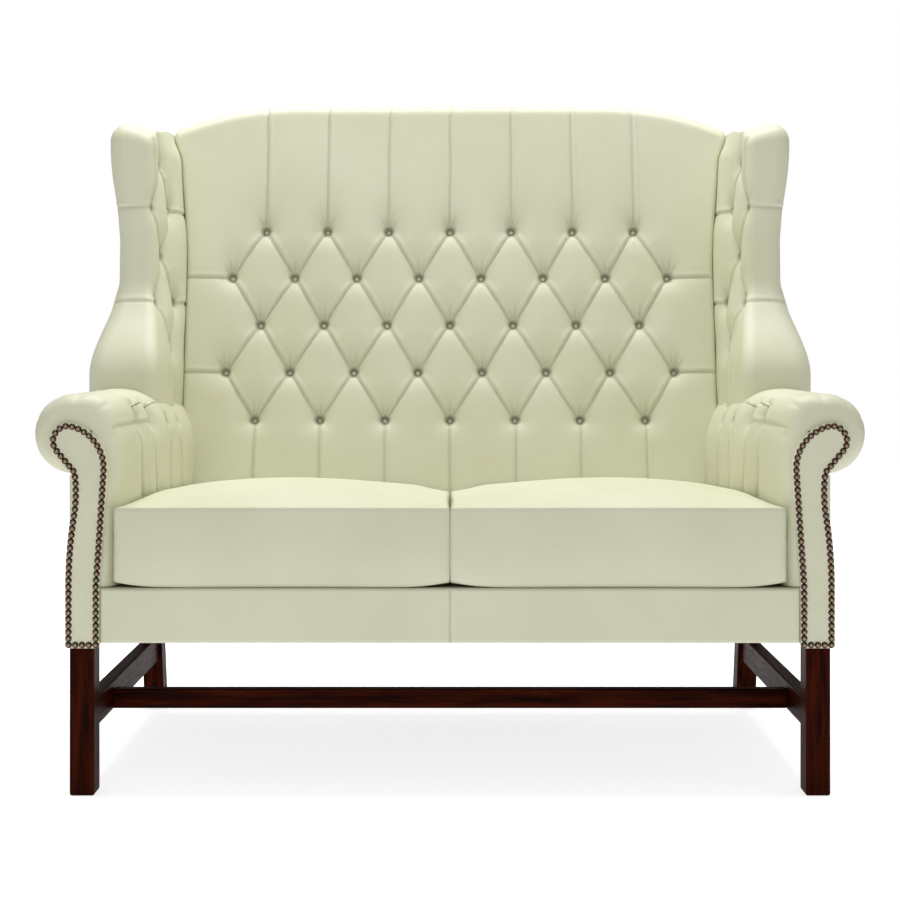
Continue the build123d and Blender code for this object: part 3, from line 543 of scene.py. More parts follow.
def make_back():
    """Tufted inside back, rolled over the crest to the rear."""
    arc = np.radians(np.linspace(0, 90, back_round_points))
    flat = np.linspace(back_side_round, 2 * back_half - back_side_round, back_columns)
    edge = np.concatenate([np.zeros(3), back_side_round * (1 - np.cos(arc))[:-1]])
    offset = np.concatenate([edge, flat, 2 * back_half - edge[::-1]])
    turn = back_side_round * (1 - np.sin(arc))[:-1]
    wall = np.array([pad_thickness, wall_share * pad_thickness, back_side_round])
    sunk = np.concatenate([wall, turn, np.zeros(back_columns), turn[::-1], wall[::-1]])
    x = offset - back_half
    outer_share = smooth((np.abs(x) - tuft_pitch_low * tuft_half_count) / shoulder_blend)
    crest_x = np.abs(x) + (shoulder_reach + corner_reach) * outer_share
    low_rows = np.linspace(back_bottom, back_tuft_zone[0], back_plain_rows)[:-1]
    tuft_rows_up = np.arange(*back_tuft_zone, back_row_step)
    top_share = np.linspace(0, 1, back_plain_rows)[1:]
    top_from = tuft_rows_up[-1]
    straight = np.concatenate([low_rows, tuft_rows_up])
    up = np.repeat(straight[:, None], len(x), axis=1)
    crest_start = crest_line(crest_x) - back_edge_round
    upper = top_from + (crest_start[None, :] - top_from) * top_share[:, None]
    over = crest_start[None, :] + back_edge_round * np.sin(arc[1:])[:, None]
    rear = np.repeat(crest_line(crest_x)[None, :], back_rear_rows, axis=0)
    up = np.concatenate([up, upper, over, rear])
    flat_rows = len(straight) + len(top_share)
    row_sunk = np.concatenate(
        [
            np.zeros(flat_rows),
            back_edge_round * (1 - np.cos(arc[1:])),
            np.linspace(back_edge_round, back_frame_depth, back_rear_rows + 1)[1:],
        ]
    )
    lean = np.concatenate([np.zeros(flat_rows), arc[1:], np.full(back_rear_rows, pi / 2)])
    fade = np.ones(flat_rows + len(arc) - 1)
    fade = np.concatenate([fade, np.linspace(1, 0, back_rear_rows)])
    across = np.repeat(x[None, :], len(up), axis=0)
    buttons, creases = back_tufts()
    bent = across + wandering(across, up, 190, 2.0, seed=5)
    depth, seam = creased(bent, up, creases, back_seam_depth)
    hollow, shade = hollowed(across, up, buttons, hollow_depth, hollow_width, hollow_rim)
    swell = wandering(across, up, 420, back_swell, seed=11)
    drop = (depth + hollow - swell - back_swell) * fade[:, None]
    side_share = np.clip(sunk / back_side_round, 0, 1)[None, :]
    drop = drop * (1 - side_share)
    depth_in = np.minimum(row_sunk[:, None] + sunk[None, :], back_frame_depth)
    inward = depth_in + drop * np.cos(lean)[:, None]
    height = up - drop * np.sin(lean)[:, None]
    flare = shoulder_flare(seat_line + height * cos(rake)) * np.sign(across)
    spread = across + flare * outer_share[None, :]
    grid = (
        back_origin
        + spread[..., None] * np.array([1, 0, 0])
        + height[..., None] * back_up
        - inward[..., None] * back_out
    )
    # Painted shade along the creases and in and above the button hollows
    fold = np.maximum(back_seam_shade * seam * fade[:, None], shade)
    return padded_grid("tufted_back", grid, fold, hide)


back = make_back()
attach(back, SOFA)
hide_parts("back_pad")


# Scroll arms
arm_roll_radius, arm_roll_x, arm_top = 65, 619.5, 656
arm_roll_height = arm_top - arm_roll_radius
arm_bottom = platform_height + clearance
arm_pocket_x = 613.3
arm_fold_front, arm_fold_rear = 560, 505
arm_fullness_front, arm_fullness_rear, arm_round_start = 3.8, 2.3, 0.1
arm_rise_points, arm_shoulder_points, arm_roll_points, arm_under_points = 64, 50, 28, 22
arm_shoulder_index = arm_rise_points + arm_shoulder_points // 2 - 2
arm_row_pitch = 2.3
arm_into_pad = 12
arm_lip_reach, arm_lip_inset, arm_lip_points = 28, 22, 10
facing_thickness = 8
wing_foot_setback = 340
arm_tufts = (191, 281, 371, 461)
arm_tuft_girth = -20
arm_foot, arm_rear_foot, arm_base, arm_crown = -30, -40, -400, 100
arm_leans, arm_rises = (-6, 14), (40, 58)
arm_petal_reach, arm_petal_rise = -32, 36
arm_pleat_setback, arm_pleat_fall = 20, 6
arm_swell, arm_lift = 2.0, 1.5
arm_seam_depth, arm_seam_shade, arm_rear_shade = 0.8, 0.2, 0.3
arm_plain_girth, arm_plain_reach = 130, 60
lip_gathers = (-40, 15, 62, 105, 150, 190, 225)
lip_gather_depth, lip_gather_width = 2.2, 5
lip_gather_setback, lip_gather_reach = 22, 16

# Depth and width of each kind of crease
arm_flute, arm_rear_flute = (12.0, 24.0), (8.0, 24.0)
arm_over, arm_over_end = (9.0, 11.0), (3.6, 15.4)
arm_petal = (12.0, 13.0)
arm_facing_pleat, arm_joining_crease = (5.0, 11.0), (5.0, 13.0)

# Depth, width and rim of the hollows
arm_open_hollow, arm_rear_hollow = (17.0, 25.0, 4.0), (4.0, 18.0, 3.0)


def circle_arc(centre, radius, start, end, count):
    """Points round a circle, from one bearing to another."""
    turn = np.linspace(start, end, count)
    return np.asarray(centre) + radius * np.stack([np.cos(turn), np.sin(turn)], axis=1)


def full_arc(foot, top, fullness, count):
    """Evenly spaced points of a squarish curve that leaves its foot upright and ends level."""
    turn = np.linspace(0, pi / 2, 400)
    x = top[0] - (top[0] - foot[0]) * np.cos(turn) ** (2 / fullness)
    z = foot[1] + (top[1] - foot[1]) * np.sin(turn) ** (2 / fullness)
    run = np.concatenate([[0], np.cumsum(np.hypot(np.diff(x), np.diff(z)))])
    even = np.linspace(0, run[-1], count)
    return np.stack([np.interp(even, run, x), np.interp(even, run, z)], axis=1)


def arm_curve(setback, inset):
    """Outline of the right arm's padding at a setback, from the seat round to under the roll."""
    share = min(setback / seat_depth, 1)
    inner = seat_half_front + (seat_half_rear - seat_half_front) * setback / seat_depth + inset
    fold = arm_fold_front + (arm_fold_rear - arm_fold_front) * share
    rounder = float(smooth((share - arm_round_start) / (1 - arm_round_start)))
    fullness = arm_fullness_front + (arm_fullness_rear - arm_fullness_front) * rounder
    roll = arm_roll_radius - inset
    centre = (arm_roll_x, arm_roll_height)
    rise = np.linspace((inner, arm_bottom), (inner, fold), arm_rise_points)
    top = (arm_roll_x, arm_top - inset)
    shoulder = full_arc((inner, fold), top, fullness, arm_shoulder_points)
    over = circle_arc(centre, roll, pi / 2, 0, arm_roll_points)
    pocket = -acos((arm_pocket_x - arm_roll_x) / roll)
    under = circle_arc(centre, roll, 0, pocket, arm_under_points)
    return np.concatenate([rise[:-1], shoulder[:-1], over[:-1], under])


def arm_creases():
    """Flutes, pleats over the roll and the pleat to the facing, from the arm's tufts."""
    draw = np.random.default_rng(31)
    low = arm_tuft_girth
    first, second = [(spot, low) for spot in arm_tufts[:2]]
    creases = [
        (first, (arm_pleat_setback, low - arm_pleat_fall), *arm_facing_pleat),
        (first, second, *arm_joining_crease),
    ]
    for spot in arm_tufts:
        lean, rise = draw.uniform(*arm_leans), draw.uniform(*arm_rises)
        tuft, base = (spot, low), (spot + lean, arm_base)
        if spot > wing_foot_setback:
            creases.append(((spot + lean, low + arm_rear_foot), base, *arm_rear_flute))
            continue
        foot, crown = (spot + lean, low + arm_foot), (spot + lean / 2, low + rise)
        tip = (spot + arm_petal_reach + lean / 2, low + arm_petal_rise)
        creases += [
            (tuft, foot, *arm_flute),
            (foot, base, *arm_flute),
            (tuft, crown, *arm_over),
            (crown, (spot + lean, arm_crown), *arm_over_end),
            (tuft, tip, *arm_petal),
        ]
    return creases


def make_arm(side, hand):
    """Padded scroll arm with its tufts."""
    stations = [
        (facing_thickness + arm_lip_reach * (1 - cos(turn)), arm_lip_inset * (1 - sin(turn)))
        for turn in np.linspace(0, pi / 2, arm_lip_points)
    ]
    arm_end = back_depth(arm_top, back_frame_depth)
    straight = np.arange(stations[-1][0] + arm_row_pitch, arm_end, arm_row_pitch)
    stations += [(setback, 0.0) for setback in straight]
    curves = np.array([arm_curve(setback, inset) for setback, inset in stations])
    setbacks = np.array(stations)[:, 0]
    into_back = np.where(curves[-1, :, 0] < back_half, arm_into_pad, back_frame_depth - 1)
    reach = back_depth(curves[-1, :, 1], into_back)
    lip_end = facing_thickness + arm_lip_reach
    beyond_lip = np.maximum(setbacks - lip_end, 0)[:, None] / (setbacks[-1] - lip_end)
    along = np.minimum(setbacks, lip_end)[:, None] + beyond_lip * (reach - lip_end)[None, :]
    curves = read_along(curves, setbacks, along)
    tangent, girth = outline_frame(curves)
    outward = np.stack([-tangent[..., 1], tangent[..., 0]], axis=-1)
    girth -= girth[:, arm_shoulder_index][:, None]
    bent = along + wandering(along, girth, 110, 7.0, seed=8)
    depth, seam = creased(bent, girth, arm_creases(), arm_seam_depth)
    open_spots = [(spot, arm_tuft_girth) for spot in arm_tufts if spot < wing_foot_setback]
    rear_spots = [(spot, arm_tuft_girth) for spot in arm_tufts if spot > wing_foot_setback]
    hollow, shade = hollowed(along, girth, open_spots, *arm_open_hollow)
    shallow, rear_shade = hollowed(along, girth, rear_spots, *arm_rear_hollow)
    hollow = np.maximum(hollow, shallow)
    shade = np.maximum(shade, arm_rear_shade * rear_shade)
    swell = wandering(along, girth, 180, arm_swell, seed=23)
    gather = np.zeros_like(along)
    for place in lip_gathers:
        gather = np.maximum(gather, np.exp(-(((girth - place) / lip_gather_width) ** 2)))
    gather *= np.exp(-(((along - lip_gather_setback) / lip_gather_reach) ** 2))
    lip_share = smooth((along - facing_thickness) / arm_lip_reach)
    drop = (depth + hollow - swell - arm_lift) * lip_share + lip_gather_depth * gather
    drop *= 1 - smooth((girth - arm_plain_girth) / arm_plain_reach)
    flat = curves - outward * drop[..., None]
    grid = np.stack([flat[..., 0], facing_y + along, flat[..., 1]], axis=-1)
    # Painted shade along the creases and in and above the tuft hollows, weaker at the hidden rear
    # tufts
    fold = np.maximum(arm_seam_shade * seam * lip_share, shade)
    piece = padded_grid(f"scroll_arm_{side}", sided(grid, hand), fold, hide, wrap=True)
    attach(piece, SOFA)
    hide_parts(f"arm_pad_{side}")


# Wings
wing_crown = 38
wing_top_fall = 23
wing_sunk = 54
wing_lowest = 500
wing_cap_shares = (0.86, 0.62, 0.34, 0.08)
wing_shoulder = wing_top - wing_crown
wing_waist_x, wing_foot_reach = 641.5, 36
wing_flare_start, wing_flare_reach = 930, 19
wing_cover_gap = 3.3
wing_front_setback, wing_foot_forward = 445, 105
wing_inner_x, wing_foot_inward = 565, 20
wing_sweep_start, wing_sweep_drop = 870, 190
wing_inner_round, wing_outer_round = 22, 30
wing_row_pitch = 3.2
wing_side_points, wing_face_points, wing_band_points = 12, 72, 24
wing_round_points, wing_outside_points = 12, 14
wing_crown_rows, wing_crown_turn = 14, 88
wing_nose_index = wing_side_points + wing_face_points - 2
wing_fall_start, wing_fall_setback, wing_fall_reach = 1040, 470, 150
wing_band_width, wing_band_fade = 100, 30
wing_swell, wing_lift = 1.6, 1.0
wing_seam_depth, wing_seam_shade = 1.0, 0.22
wing_tuft_middle, wing_tuft_column = 508, 47
wing_tuft_low, wing_tuft_pitch = 729, 91.2
wing_tuft_spots = ((0, 0), (-1, 1), (1, 1), (0, 2), (-1, 3), (1, 3), (0, 4))
wing_hollow = (11.0, 22.0, 4.0)
wing_crease, wing_edge_fold = (9.0, 14.0), (3.5, 12.0)
wing_band_pleat, wing_back_pleat = (1.6, 6.0), (3.2, 8.0)
beyond_front, beyond_back, beyond_top, beyond_foot = 200, 900, 1400, 500

# Circle of the inside arm under the wing's foot
foot_arc_x, foot_arc_height, foot_arc_radius = 632.884, 526.940, 129.753


def wing_foot_share(height):
    """How far the wing has swept out onto the arm."""
    return smooth((wing_sweep_start - height) / wing_sweep_drop)


def arm_surface(x):
    """Height of the arm's top at the wing's foot."""
    outer = np.sqrt(np.maximum(arm_roll_radius**2 - (x - arm_roll_x) ** 2, 0))
    inner = np.sqrt(np.maximum(foot_arc_radius**2 - (x - foot_arc_x) ** 2, 0))
    return np.where(x < arm_roll_x, foot_arc_height + inner, arm_roll_height + outer)


def wing_curve(height, shrink):
    """Level outline of the right wing, from the back along its inside and round its front."""
    sweep = float(wing_foot_share(height))
    flare = float(smooth((height - wing_flare_start) / (wing_shoulder - wing_flare_start)))
    tighter = shrink / 4
    inner = wing_inner_x - wing_foot_inward * sweep + tighter
    outer = wing_waist_x + wing_foot_reach * sweep + wing_flare_reach * flare
    outer -= wing_cover_gap + shrink
    front = wing_front_setback - wing_foot_forward * sweep + shrink
    rear = back_depth(height, back_frame_depth - clearance)
    joint = back_depth(height, 0)
    near, far = wing_inner_round - tighter, wing_outer_round - tighter
    edge_x = back_half + clearance + float(shoulder_flare(height))
    pieces = [
        np.linspace((edge_x, rear), (edge_x, joint), wing_side_points),
        np.linspace((edge_x, joint), (inner, front + near), wing_face_points),
        circle_arc((inner + near, front + near), near, pi, 1.5 * pi, wing_round_points),
        np.linspace((inner + near, front), (outer - far, front), wing_band_points),
        circle_arc((outer - far, front + far), far, 1.5 * pi, 2 * pi, wing_round_points),
    ]
    outside = np.linspace((outer, front + far), (outer, rear), wing_outside_points)
    return np.concatenate([piece[:-1] for piece in pieces] + [outside])


def wing_spot(column, row):
    """Tuft's setback along the wing's inside, and its height."""
    return wing_tuft_middle + column * wing_tuft_column, wing_tuft_low + row * wing_tuft_pitch


def wing_creases():
    """Diamond creases of the wing's inside, and pleats across its front band and to the back."""
    creases = []
    for column, row in wing_tuft_spots:
        for side in (-1, 1):
            other = (column + side, row + 1)
            if other in wing_tuft_spots:
                creases.append((wing_spot(column, row), wing_spot(*other), *wing_crease))
    for row in (1, 3):
        height = wing_spot(0, row)[1]
        creases.append((wing_spot(-1, row), (beyond_front, height), *wing_band_pleat))
        creases.append((wing_spot(1, row), (beyond_back, height), *wing_back_pleat))
    creases += [
        (wing_spot(0, 4), (wing_tuft_middle - 10, beyond_top), *wing_crease),
        (wing_spot(0, 0), (wing_tuft_middle + 8, beyond_foot), *wing_crease),
        (wing_spot(-1, 3), wing_spot(-1.1, 4.6), *wing_edge_fold),
        (wing_spot(-1, 1), wing_spot(-1.1, -0.8), *wing_edge_fold),
    ]
    return creases


def make_wing(side, hand):
    """Padded wing with its tufted inside."""
    rows = np.arange(wing_lowest, wing_shoulder, wing_row_pitch)
    levels = [(height, 0.0) for height in rows]
    for turn in np.radians(np.linspace(0, wing_crown_turn, wing_crown_rows)):
        levels.append((wing_shoulder + wing_crown * sin(turn), wing_crown * (1 - cos(turn))))
    curves = np.array([wing_curve(height, shrink) for height, shrink in levels])
    heights, shrinks = np.array(levels).T
    tangent, girth = outline_frame(curves)
    outward = np.stack([tangent[..., 1], -tangent[..., 0]], axis=-1)
    nose = wing_nose_index
    place = curves[:, nose, 1][:, None] + girth[:, nose][:, None] - girth
    foot = arm_surface(curves[np.searchsorted(heights, arm_top), :, 0]) - wing_sunk
    risen = np.clip((heights - heights[0]) / (wing_shoulder - heights[0]), 0, 1)[:, None]
    level = np.maximum(heights, wing_shoulder)[:, None]
    level = level - (1 - risen) * (wing_shoulder - foot)[None, :]
    curves, outward, place, girth = [
        read_along(values, heights, level) for values in (curves, outward, place, girth)
    ]
    bent = level + wandering(place, level, 120, 4.0, seed=9)
    depth, seam = creased(place, bent, wing_creases(), wing_seam_depth)
    spots = [wing_spot(*spot) for spot in wing_tuft_spots]
    hollow, shade = hollowed(place, level, spots, *wing_hollow)
    swell = wandering(place, level, 160, wing_swell, seed=37)
    outside = smooth((girth - girth[:, nose][:, None] - wing_band_width) / wing_band_fade)
    crown_fade = (1 - smooth(shrinks / wing_crown))[:, None]
    drop = (depth + hollow - swell - wing_lift) * (1 - outside) * crown_fade
    flat = curves - outward * drop[..., None]
    inward = smooth((wing_waist_x - flat[..., 0]) / (wing_waist_x - back_half))
    inward *= 1 - smooth((flat[..., 1] - wing_fall_setback) / wing_fall_reach)
    risen = smooth((level - wing_fall_start) / (wing_top - wing_fall_start))
    level = level - wing_top_fall * inward * risen
    grid = np.stack([flat[..., 0], facing_y + flat[..., 1], level], axis=-1)
    middle = grid[-1].mean(axis=0)
    cap = [middle + share * (grid[-1] - middle) for share in wing_cap_shares]
    grid = np.concatenate([grid, cap])
    # Painted shade along the creases and in and above the button hollows, fading out over the outer
    # side and the crown
    fold = np.maximum(wing_seam_shade * seam, shade) * (1 - outside) * crown_fade
    fold = np.concatenate([fold, np.zeros((len(cap), fold.shape[1]))])
    piece = padded_grid(f"wing_{side}", sided(grid, hand), fold, hide, wrap=True)
    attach(piece, SOFA)
    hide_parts(f"wing_pad_{side}")


for side_name, side_hand in hands:
    make_arm(side_name, side_hand)
    make_wing(side_name, side_hand)


# Seat cushions
cushion_gap, cushion_side_ease, cushion_rear_ease = 1.5, 1.5, 2
cushion_setback = 4
cushion_low, cushion_high, cushion_foot = 11, 131, 0.8
cushion_draw = 3.0
cushion_columns, cushion_rows, cushion_side_rows = 92, 84, 22
cushion_dome, cushion_dome_power, cushion_corner_power = -4, 6, 8
cushion_seam_lift, cushion_lift_reach, cushion_lift_width = 15, 300, 0.16
cushion_seam_shade = 0.25
zip_margin, zip_row, zip_sunk = 11, 10, 2.0
zip_relief = (0.5, 0.7, 1.8, 0.7, 0.5)
sim_frames, sim_cap, sim_hold, sim_pressure = 20, 26, 0.92, 14


def cushion_outline(level):
    """Corners of the right cushion at a level: inner front, outer front, outer rear, inner rear."""
    height = platform_height - seat_depth * tan(slope) + level
    front = cushion_setback
    rear = back_depth(height, 0) - cushion_gap - cushion_rear_ease
    inner = cushion_gap / 2

    def outer(setback):
        taper = (seat_half_rear - seat_half_front) * setback / seat_depth
        return seat_half_front + taper - cushion_gap - cushion_side_ease

    return np.array([(inner, front), (outer(front), front), (outer(rear), rear), (inner, rear)])


def cushion_plan(level):
    """Grid of places across the cushion at a level, with sides drawn in between the corners."""
    corners = cushion_outline(level)
    u = np.linspace(0, 1, cushion_columns)[None, :, None]
    v = np.linspace(0, 1, cushion_rows)[:, None, None]
    near = (1 - u) * corners[0] + u * corners[1]
    far = (1 - u) * corners[3] + u * corners[2]
    plan = (1 - v) * near + v * far
    draw_x = cushion_draw * np.sin(pi * v) * (1 - 2 * u)
    draw_y = cushion_draw * np.sin(pi * u) * (1 - 2 * v)
    return plan + np.concatenate(np.broadcast_arrays(draw_x, draw_y), axis=2)


def cushion_rim(plan):
    """The plan's border, once round."""
    return np.concatenate([plan[0, :-1], plan[:-1, -1], plan[-1, :0:-1], plan[:0:-1, 0]])


def seat_point(plan, level):
    """Points on the sloping seat, from their place in plan and their level above it."""
    height = platform_height - plan[..., 1] * tan(slope) + level
    return np.stack([plan[..., 0], facing_y + plan[..., 1], height], axis=-1)


def cushion_shell():
    """Boxed cushion before it is filled: top, border and bottom, and which points are sewn."""
    u = np.linspace(0, 1, cushion_columns)[None, :]
    v = np.linspace(0, 1, cushion_rows)[:, None]
    aside, ahead = np.abs(2 * u - 1), np.abs(2 * v - 1)
    dome = (1 - aside**cushion_dome_power) * (1 - ahead**cushion_dome_power)
    corner = (aside * ahead) ** cushion_corner_power * np.maximum(aside, ahead)
    low = cushion_foot + (cushion_low - cushion_foot) * corner
    top_plan = cushion_plan(cushion_high)
    behind = smooth((top_plan[..., 1] - cushion_setback) / cushion_lift_reach)
    high = cushion_high + cushion_seam_lift * behind * smooth(u / cushion_lift_width)
    top = seat_point(top_plan, high + cushion_dome * dome)
    bottom = seat_point(cushion_plan(cushion_low), low)
    low_rim, high_rim = cushion_rim(low), cushion_rim(high)
    border = []
    for share in np.linspace(0, 1, cushion_side_rows)[1:-1]:
        plan = cushion_plan(cushion_low + (cushion_high - cushion_low) * share)
        border.append(seat_point(cushion_rim(plan), low_rim + (high_rim - low_rim) * share))
    top_index = np.arange(low.size).reshape(low.shape)
    bottom_index = top_index + low.size
    border_index = 2 * low.size + np.arange(len(border) * len(low_rim))
    ring = np.concatenate([cushion_rim(bottom_index), border_index, cushion_rim(top_index)])
    ring = ring.reshape(cushion_side_rows, -1)
    faces = np.concatenate([quads(top_index), quads(bottom_index), quads(ring, wrap=True)])
    points = np.concatenate([top.reshape(-1, 3), bottom.reshape(-1, 3), *border])
    return points, faces, np.unique(ring[[0, -1]]), ring


def fill_cushion(shell, sewn):
    """Blow the shell up as cloth, with its seams held, and return the filled points."""
    held = shell.vertex_groups.new(name="sewn")
    held.add(sewn.tolist(), sim_hold, "REPLACE")
    cloth = shell.modifiers.new("stuffing", "CLOTH")
    settings = cloth.settings
    settings.quality = 5
    settings.mass = 0.3
    settings.tension_stiffness = 18
    settings.compression_stiffness = 18
    settings.shear_stiffness = 9
    settings.bending_stiffness = 1
    settings.use_pressure = True
    settings.uniform_pressure_force = sim_pressure
    settings.vertex_group_mass = held.name
    settings.pin_stiffness = 1
    settings.effector_weights.gravity = 0
    cloth.collision_settings.use_collision = False
    scene = bpy.context.scene
    for step in range(1, sim_frames + 1):
        scene.frame_set(step)
    filled = shell.evaluated_get(bpy.context.evaluated_depsgraph_get())
    points = np.array([vertex.co[:] for vertex in filled.data.vertices]) / MM
    shell.modifiers.remove(cloth)
    scene.frame_set(1)
    return points


def cushion_points():
    """Filled points of the right cushion, its faces, its seams and the rows of its border."""
    points, faces, sewn, ring = cushion_shell()
    shell = new_object("cushion_shell", closed_mesh("cushion_shell", points, faces))
    shift = fill_cushion(shell, sewn) - points
    length = np.linalg.norm(shift, axis=1, keepdims=True)
    moved = points + shift * np.minimum(1, sim_cap / np.maximum(length, 1e-6))
    bpy.data.objects.remove(shell)
    setback = moved[:, 1] - facing_y
    floor = platform_height - setback * tan(slope) + cushion_foot
    moved[:, 2] = np.maximum(moved[:, 2], floor)
    return moved, faces, sewn, ring


def make_zip(side, hand, points, ring):
    """Zip tape and its coil along the middle of the cushion's rear border."""
    rear_start = cushion_columns + cushion_rows - 2
    ends = rear_start + zip_margin, rear_start + cushion_columns - zip_margin
    rows = points[ring[zip_row - 2 : zip_row + 3, ends[0] : ends[1]]].transpose(1, 0, 2)
    raised = rows - np.array(zip_relief)[None, :, None] * back_out
    grid = np.concatenate([raised, rows[:, ::-1] + zip_sunk * back_out], axis=1)
    flat = np.zeros(grid.shape[:2])
    piece = padded_grid(f"cushion_zip_{side}", sided(grid, hand), flat, zip_tape, wrap=True)
    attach(piece, f"cushion_{side}")
    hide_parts(f"seat_cushion_zip_{side}")


def make_cushions():
    """The two loose seat cushions, mirror images of each other."""
    points, faces, sewn, ring = cushion_points()
    # Painted shade along the sewn seams
    fold = np.zeros(len(points))
    fold[sewn] = cushion_seam_shade
    for side, hand in hands:
        piece = upholstered(f"seat_cushion_{side}", sided(points, hand), faces, fold, hide)
        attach(piece, f"cushion_{side}")
        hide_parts(f"seat_cushion_cover_{side}", f"seat_cushion_core_{side}")
        make_zip(side, hand, points, ring)


make_cushions()


# Nails and buttons
def node_islands(node):
    """Separate solids of a CAD node, each as an array of points in millimetres."""
    shell = bmesh.new()
    shell.from_mesh(nodes[node].data)
    bmesh.ops.remove_doubles(shell, verts=shell.verts, dist=1e-6)
    seen = set()
    islands = []
    for first in shell.verts:
        if first.index in seen:
            continue
        seen.add(first.index)
        group, waiting = [], [first]
        while waiting:
            vertex = waiting.pop()
            group.append(vertex.co[:])
            for edge in vertex.link_edges:
                other = edge.other_vert(vertex)
                if other.index not in seen:
                    seen.add(other.index)
                    waiting.append(other)
        islands.append(np.array(group) / MM)
    shell.free()
    return islands


def stud_tree():
    """Geometry nodes that set a domed stud on every point, facing along the point's own vector."""
    tree = bpy.data.node_groups.new("domed_studs", "GeometryNodeTree")
    for label, kind in (
        ("Points", "NodeSocketGeometry"),
        ("Radius", "NodeSocketFloat"),
        ("Height", "NodeSocketFloat"),
        ("Finish", "NodeSocketMaterial"),
    ):
        tree.interface.new_socket(label, in_out="INPUT", socket_type=kind)
    tree.interface.new_socket("Studs", in_out="OUTPUT", socket_type="NodeSocketGeometry")
    start, end = tree.nodes.new("NodeGroupInput").outputs, tree.nodes.new("NodeGroupOutput")
    ball = add(tree, "GeometryNodeMeshUVSphere", {"Segments": 10, "Rings": 6, "Radius": 1})
    size = {"X": start["Radius"], "Y": start["Radius"], "Z": start["Height"]}
    shape = add(tree, "ShaderNodeCombineXYZ", size)
    position = add(tree, "GeometryNodeInputPosition", {}).outputs["Position"]
    height = add(tree, "ShaderNodeSeparateXYZ", {"Vector": position}).outputs["Z"]
    # Height up each dome, kept as "crown" for the nails' painted highlight
    kept = {"Geometry": ball.outputs["Mesh"], "Name": "crown", "Value": height}
    crown = add(tree, "GeometryNodeStoreNamedAttribute", kept)
    scaled = {"Geometry": crown.outputs["Geometry"], "Scale": shape.outputs["Vector"]}
    flatten = add(tree, "GeometryNodeTransform", scaled)
    named = "GeometryNodeInputNamedAttribute"
    facing = add(tree, named, {"Name": "facing"}, data_type="FLOAT_VECTOR").outputs["Attribute"]
    align = add(tree, "FunctionNodeAlignRotationToVector", {"Vector": facing}, axis="Z")
    placed = {
        "Points": start["Points"],
        "Instance": flatten.outputs["Geometry"],
        "Rotation": align.outputs["Rotation"],
    }
    made = add(tree, "GeometryNodeInstanceOnPoints", placed).outputs["Instances"]
    for kind in ("GeometryNodeRealizeInstances", "GeometryNodeSetShadeSmooth"):
        made = add(tree, kind, {"Geometry": made}).outputs["Geometry"]
    finish = {"Geometry": made, "Material": start["Finish"]}
    made = add(tree, "GeometryNodeSetMaterial", finish).outputs["Geometry"]
    wire(tree, end, {"Studs": made})
    return tree


studs = stud_tree()
button_sink, wing_button_sink, arm_button_sinks = -5, -10, (-13, 3)
arm_button_shift_x, arm_button_shift_z = -6, arm_tuft_girth + 10

# Radius, height, finish and slot
button = (5.4, 5.0, shaded_button_hide, "hide")
nail = (5.6, 3.7, bronze, "nails")


def set_studs(name, places, facings, radius, height, finish):
    """One mesh of studs, a stud at each place."""
    mesh = bpy.data.meshes.new(name)
    mesh.from_pydata((np.asarray(places) * MM).tolist(), [], [])
    facing = mesh.attributes.new("facing", "FLOAT_VECTOR", "POINT")
    facing.data.foreach_set("vector", np.asarray(facings, np.float32).ravel())
    seed = new_object(name, mesh)
    modifier = seed.modifiers.new("studs", "NODES")
    modifier.node_group = studs
    values = {"Radius": radius * MM, "Height": height * MM, "Finish": finish}
    for item in studs.interface.items_tree:
        if item.in_out == "INPUT" and item.name in values:
            modifier[item.identifier] = values[item.name]
    graph = bpy.context.evaluated_depsgraph_get()
    made = bpy.data.meshes.new_from_object(seed.evaluated_get(graph))
    seed.modifiers.remove(modifier)
    seed.data = made
    return seed


def make_studs(node, name, kind, hint, sinks=(0, 0), shift=(0, 0, 0)):
    """Studs on a CAD node's solids, sunk by one depth before the wing's foot, another behind."""
    radius, height, finish, slot = kind
    feet, axes = [], []
    for island in node_islands(node):
        middle = island.mean(axis=0)
        spread = island - middle
        axis = np.linalg.svd(spread, full_matrices=False)[2][2]
        axis = axis if axis @ np.asarray(hint, float) > 0 else -axis
        sink = sinks[0] if middle[1] - facing_y < wing_foot_setback else sinks[1]
        feet.append(middle + axis * ((spread @ axis).min() + sink) + np.array(shift))
        axes.append(axis)
    piece = set_studs(name, feet, axes, radius, height, finish)
    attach(piece, SOFA)
    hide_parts(node)


make_studs("back_buttons", "back_button_set", button, back_out, (0, button_sink))
for side_name, side_hand in hands:
    make_studs(
        f"arm_buttons_{side_name}",
        f"arm_button_set_{side_name}",
        button,
        (-side_hand, 0, 0.7),
        arm_button_sinks,
        (arm_button_shift_x * side_hand, 0, arm_button_shift_z),
    )
    make_studs(
        f"wing_buttons_{side_name}",
        f"wing_button_set_{side_name}",
        button,
        (-side_hand, -0.3, 0),
        (wing_button_sink, wing_button_sink),
    )
    make_studs(f"nail_trim_{side_name}", f"nail_row_{side_name}", nail, (0, -1, 0))


# Finishes of the frame's own pieces
def grain_axis(node):
    """Longest way of a piece, which its grain follows."""
    low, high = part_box(node)
    sizes = high - low
    return "XYZ"[max(range(3), key=lambda axis: sizes[axis])]


def ease_edges(node, radius):
    """Round the sharp edges of a frame piece."""
    weld = node.modifiers.new("joined", "WELD")
    weld.merge_threshold = 0.05 * MM
    bevel = node.modifiers.new("eased", "BEVEL")
    bevel.width = radius * MM
    bevel.segments = 3
    bevel.limit_method = "ANGLE"
    bevel.angle_limit = radians(30)


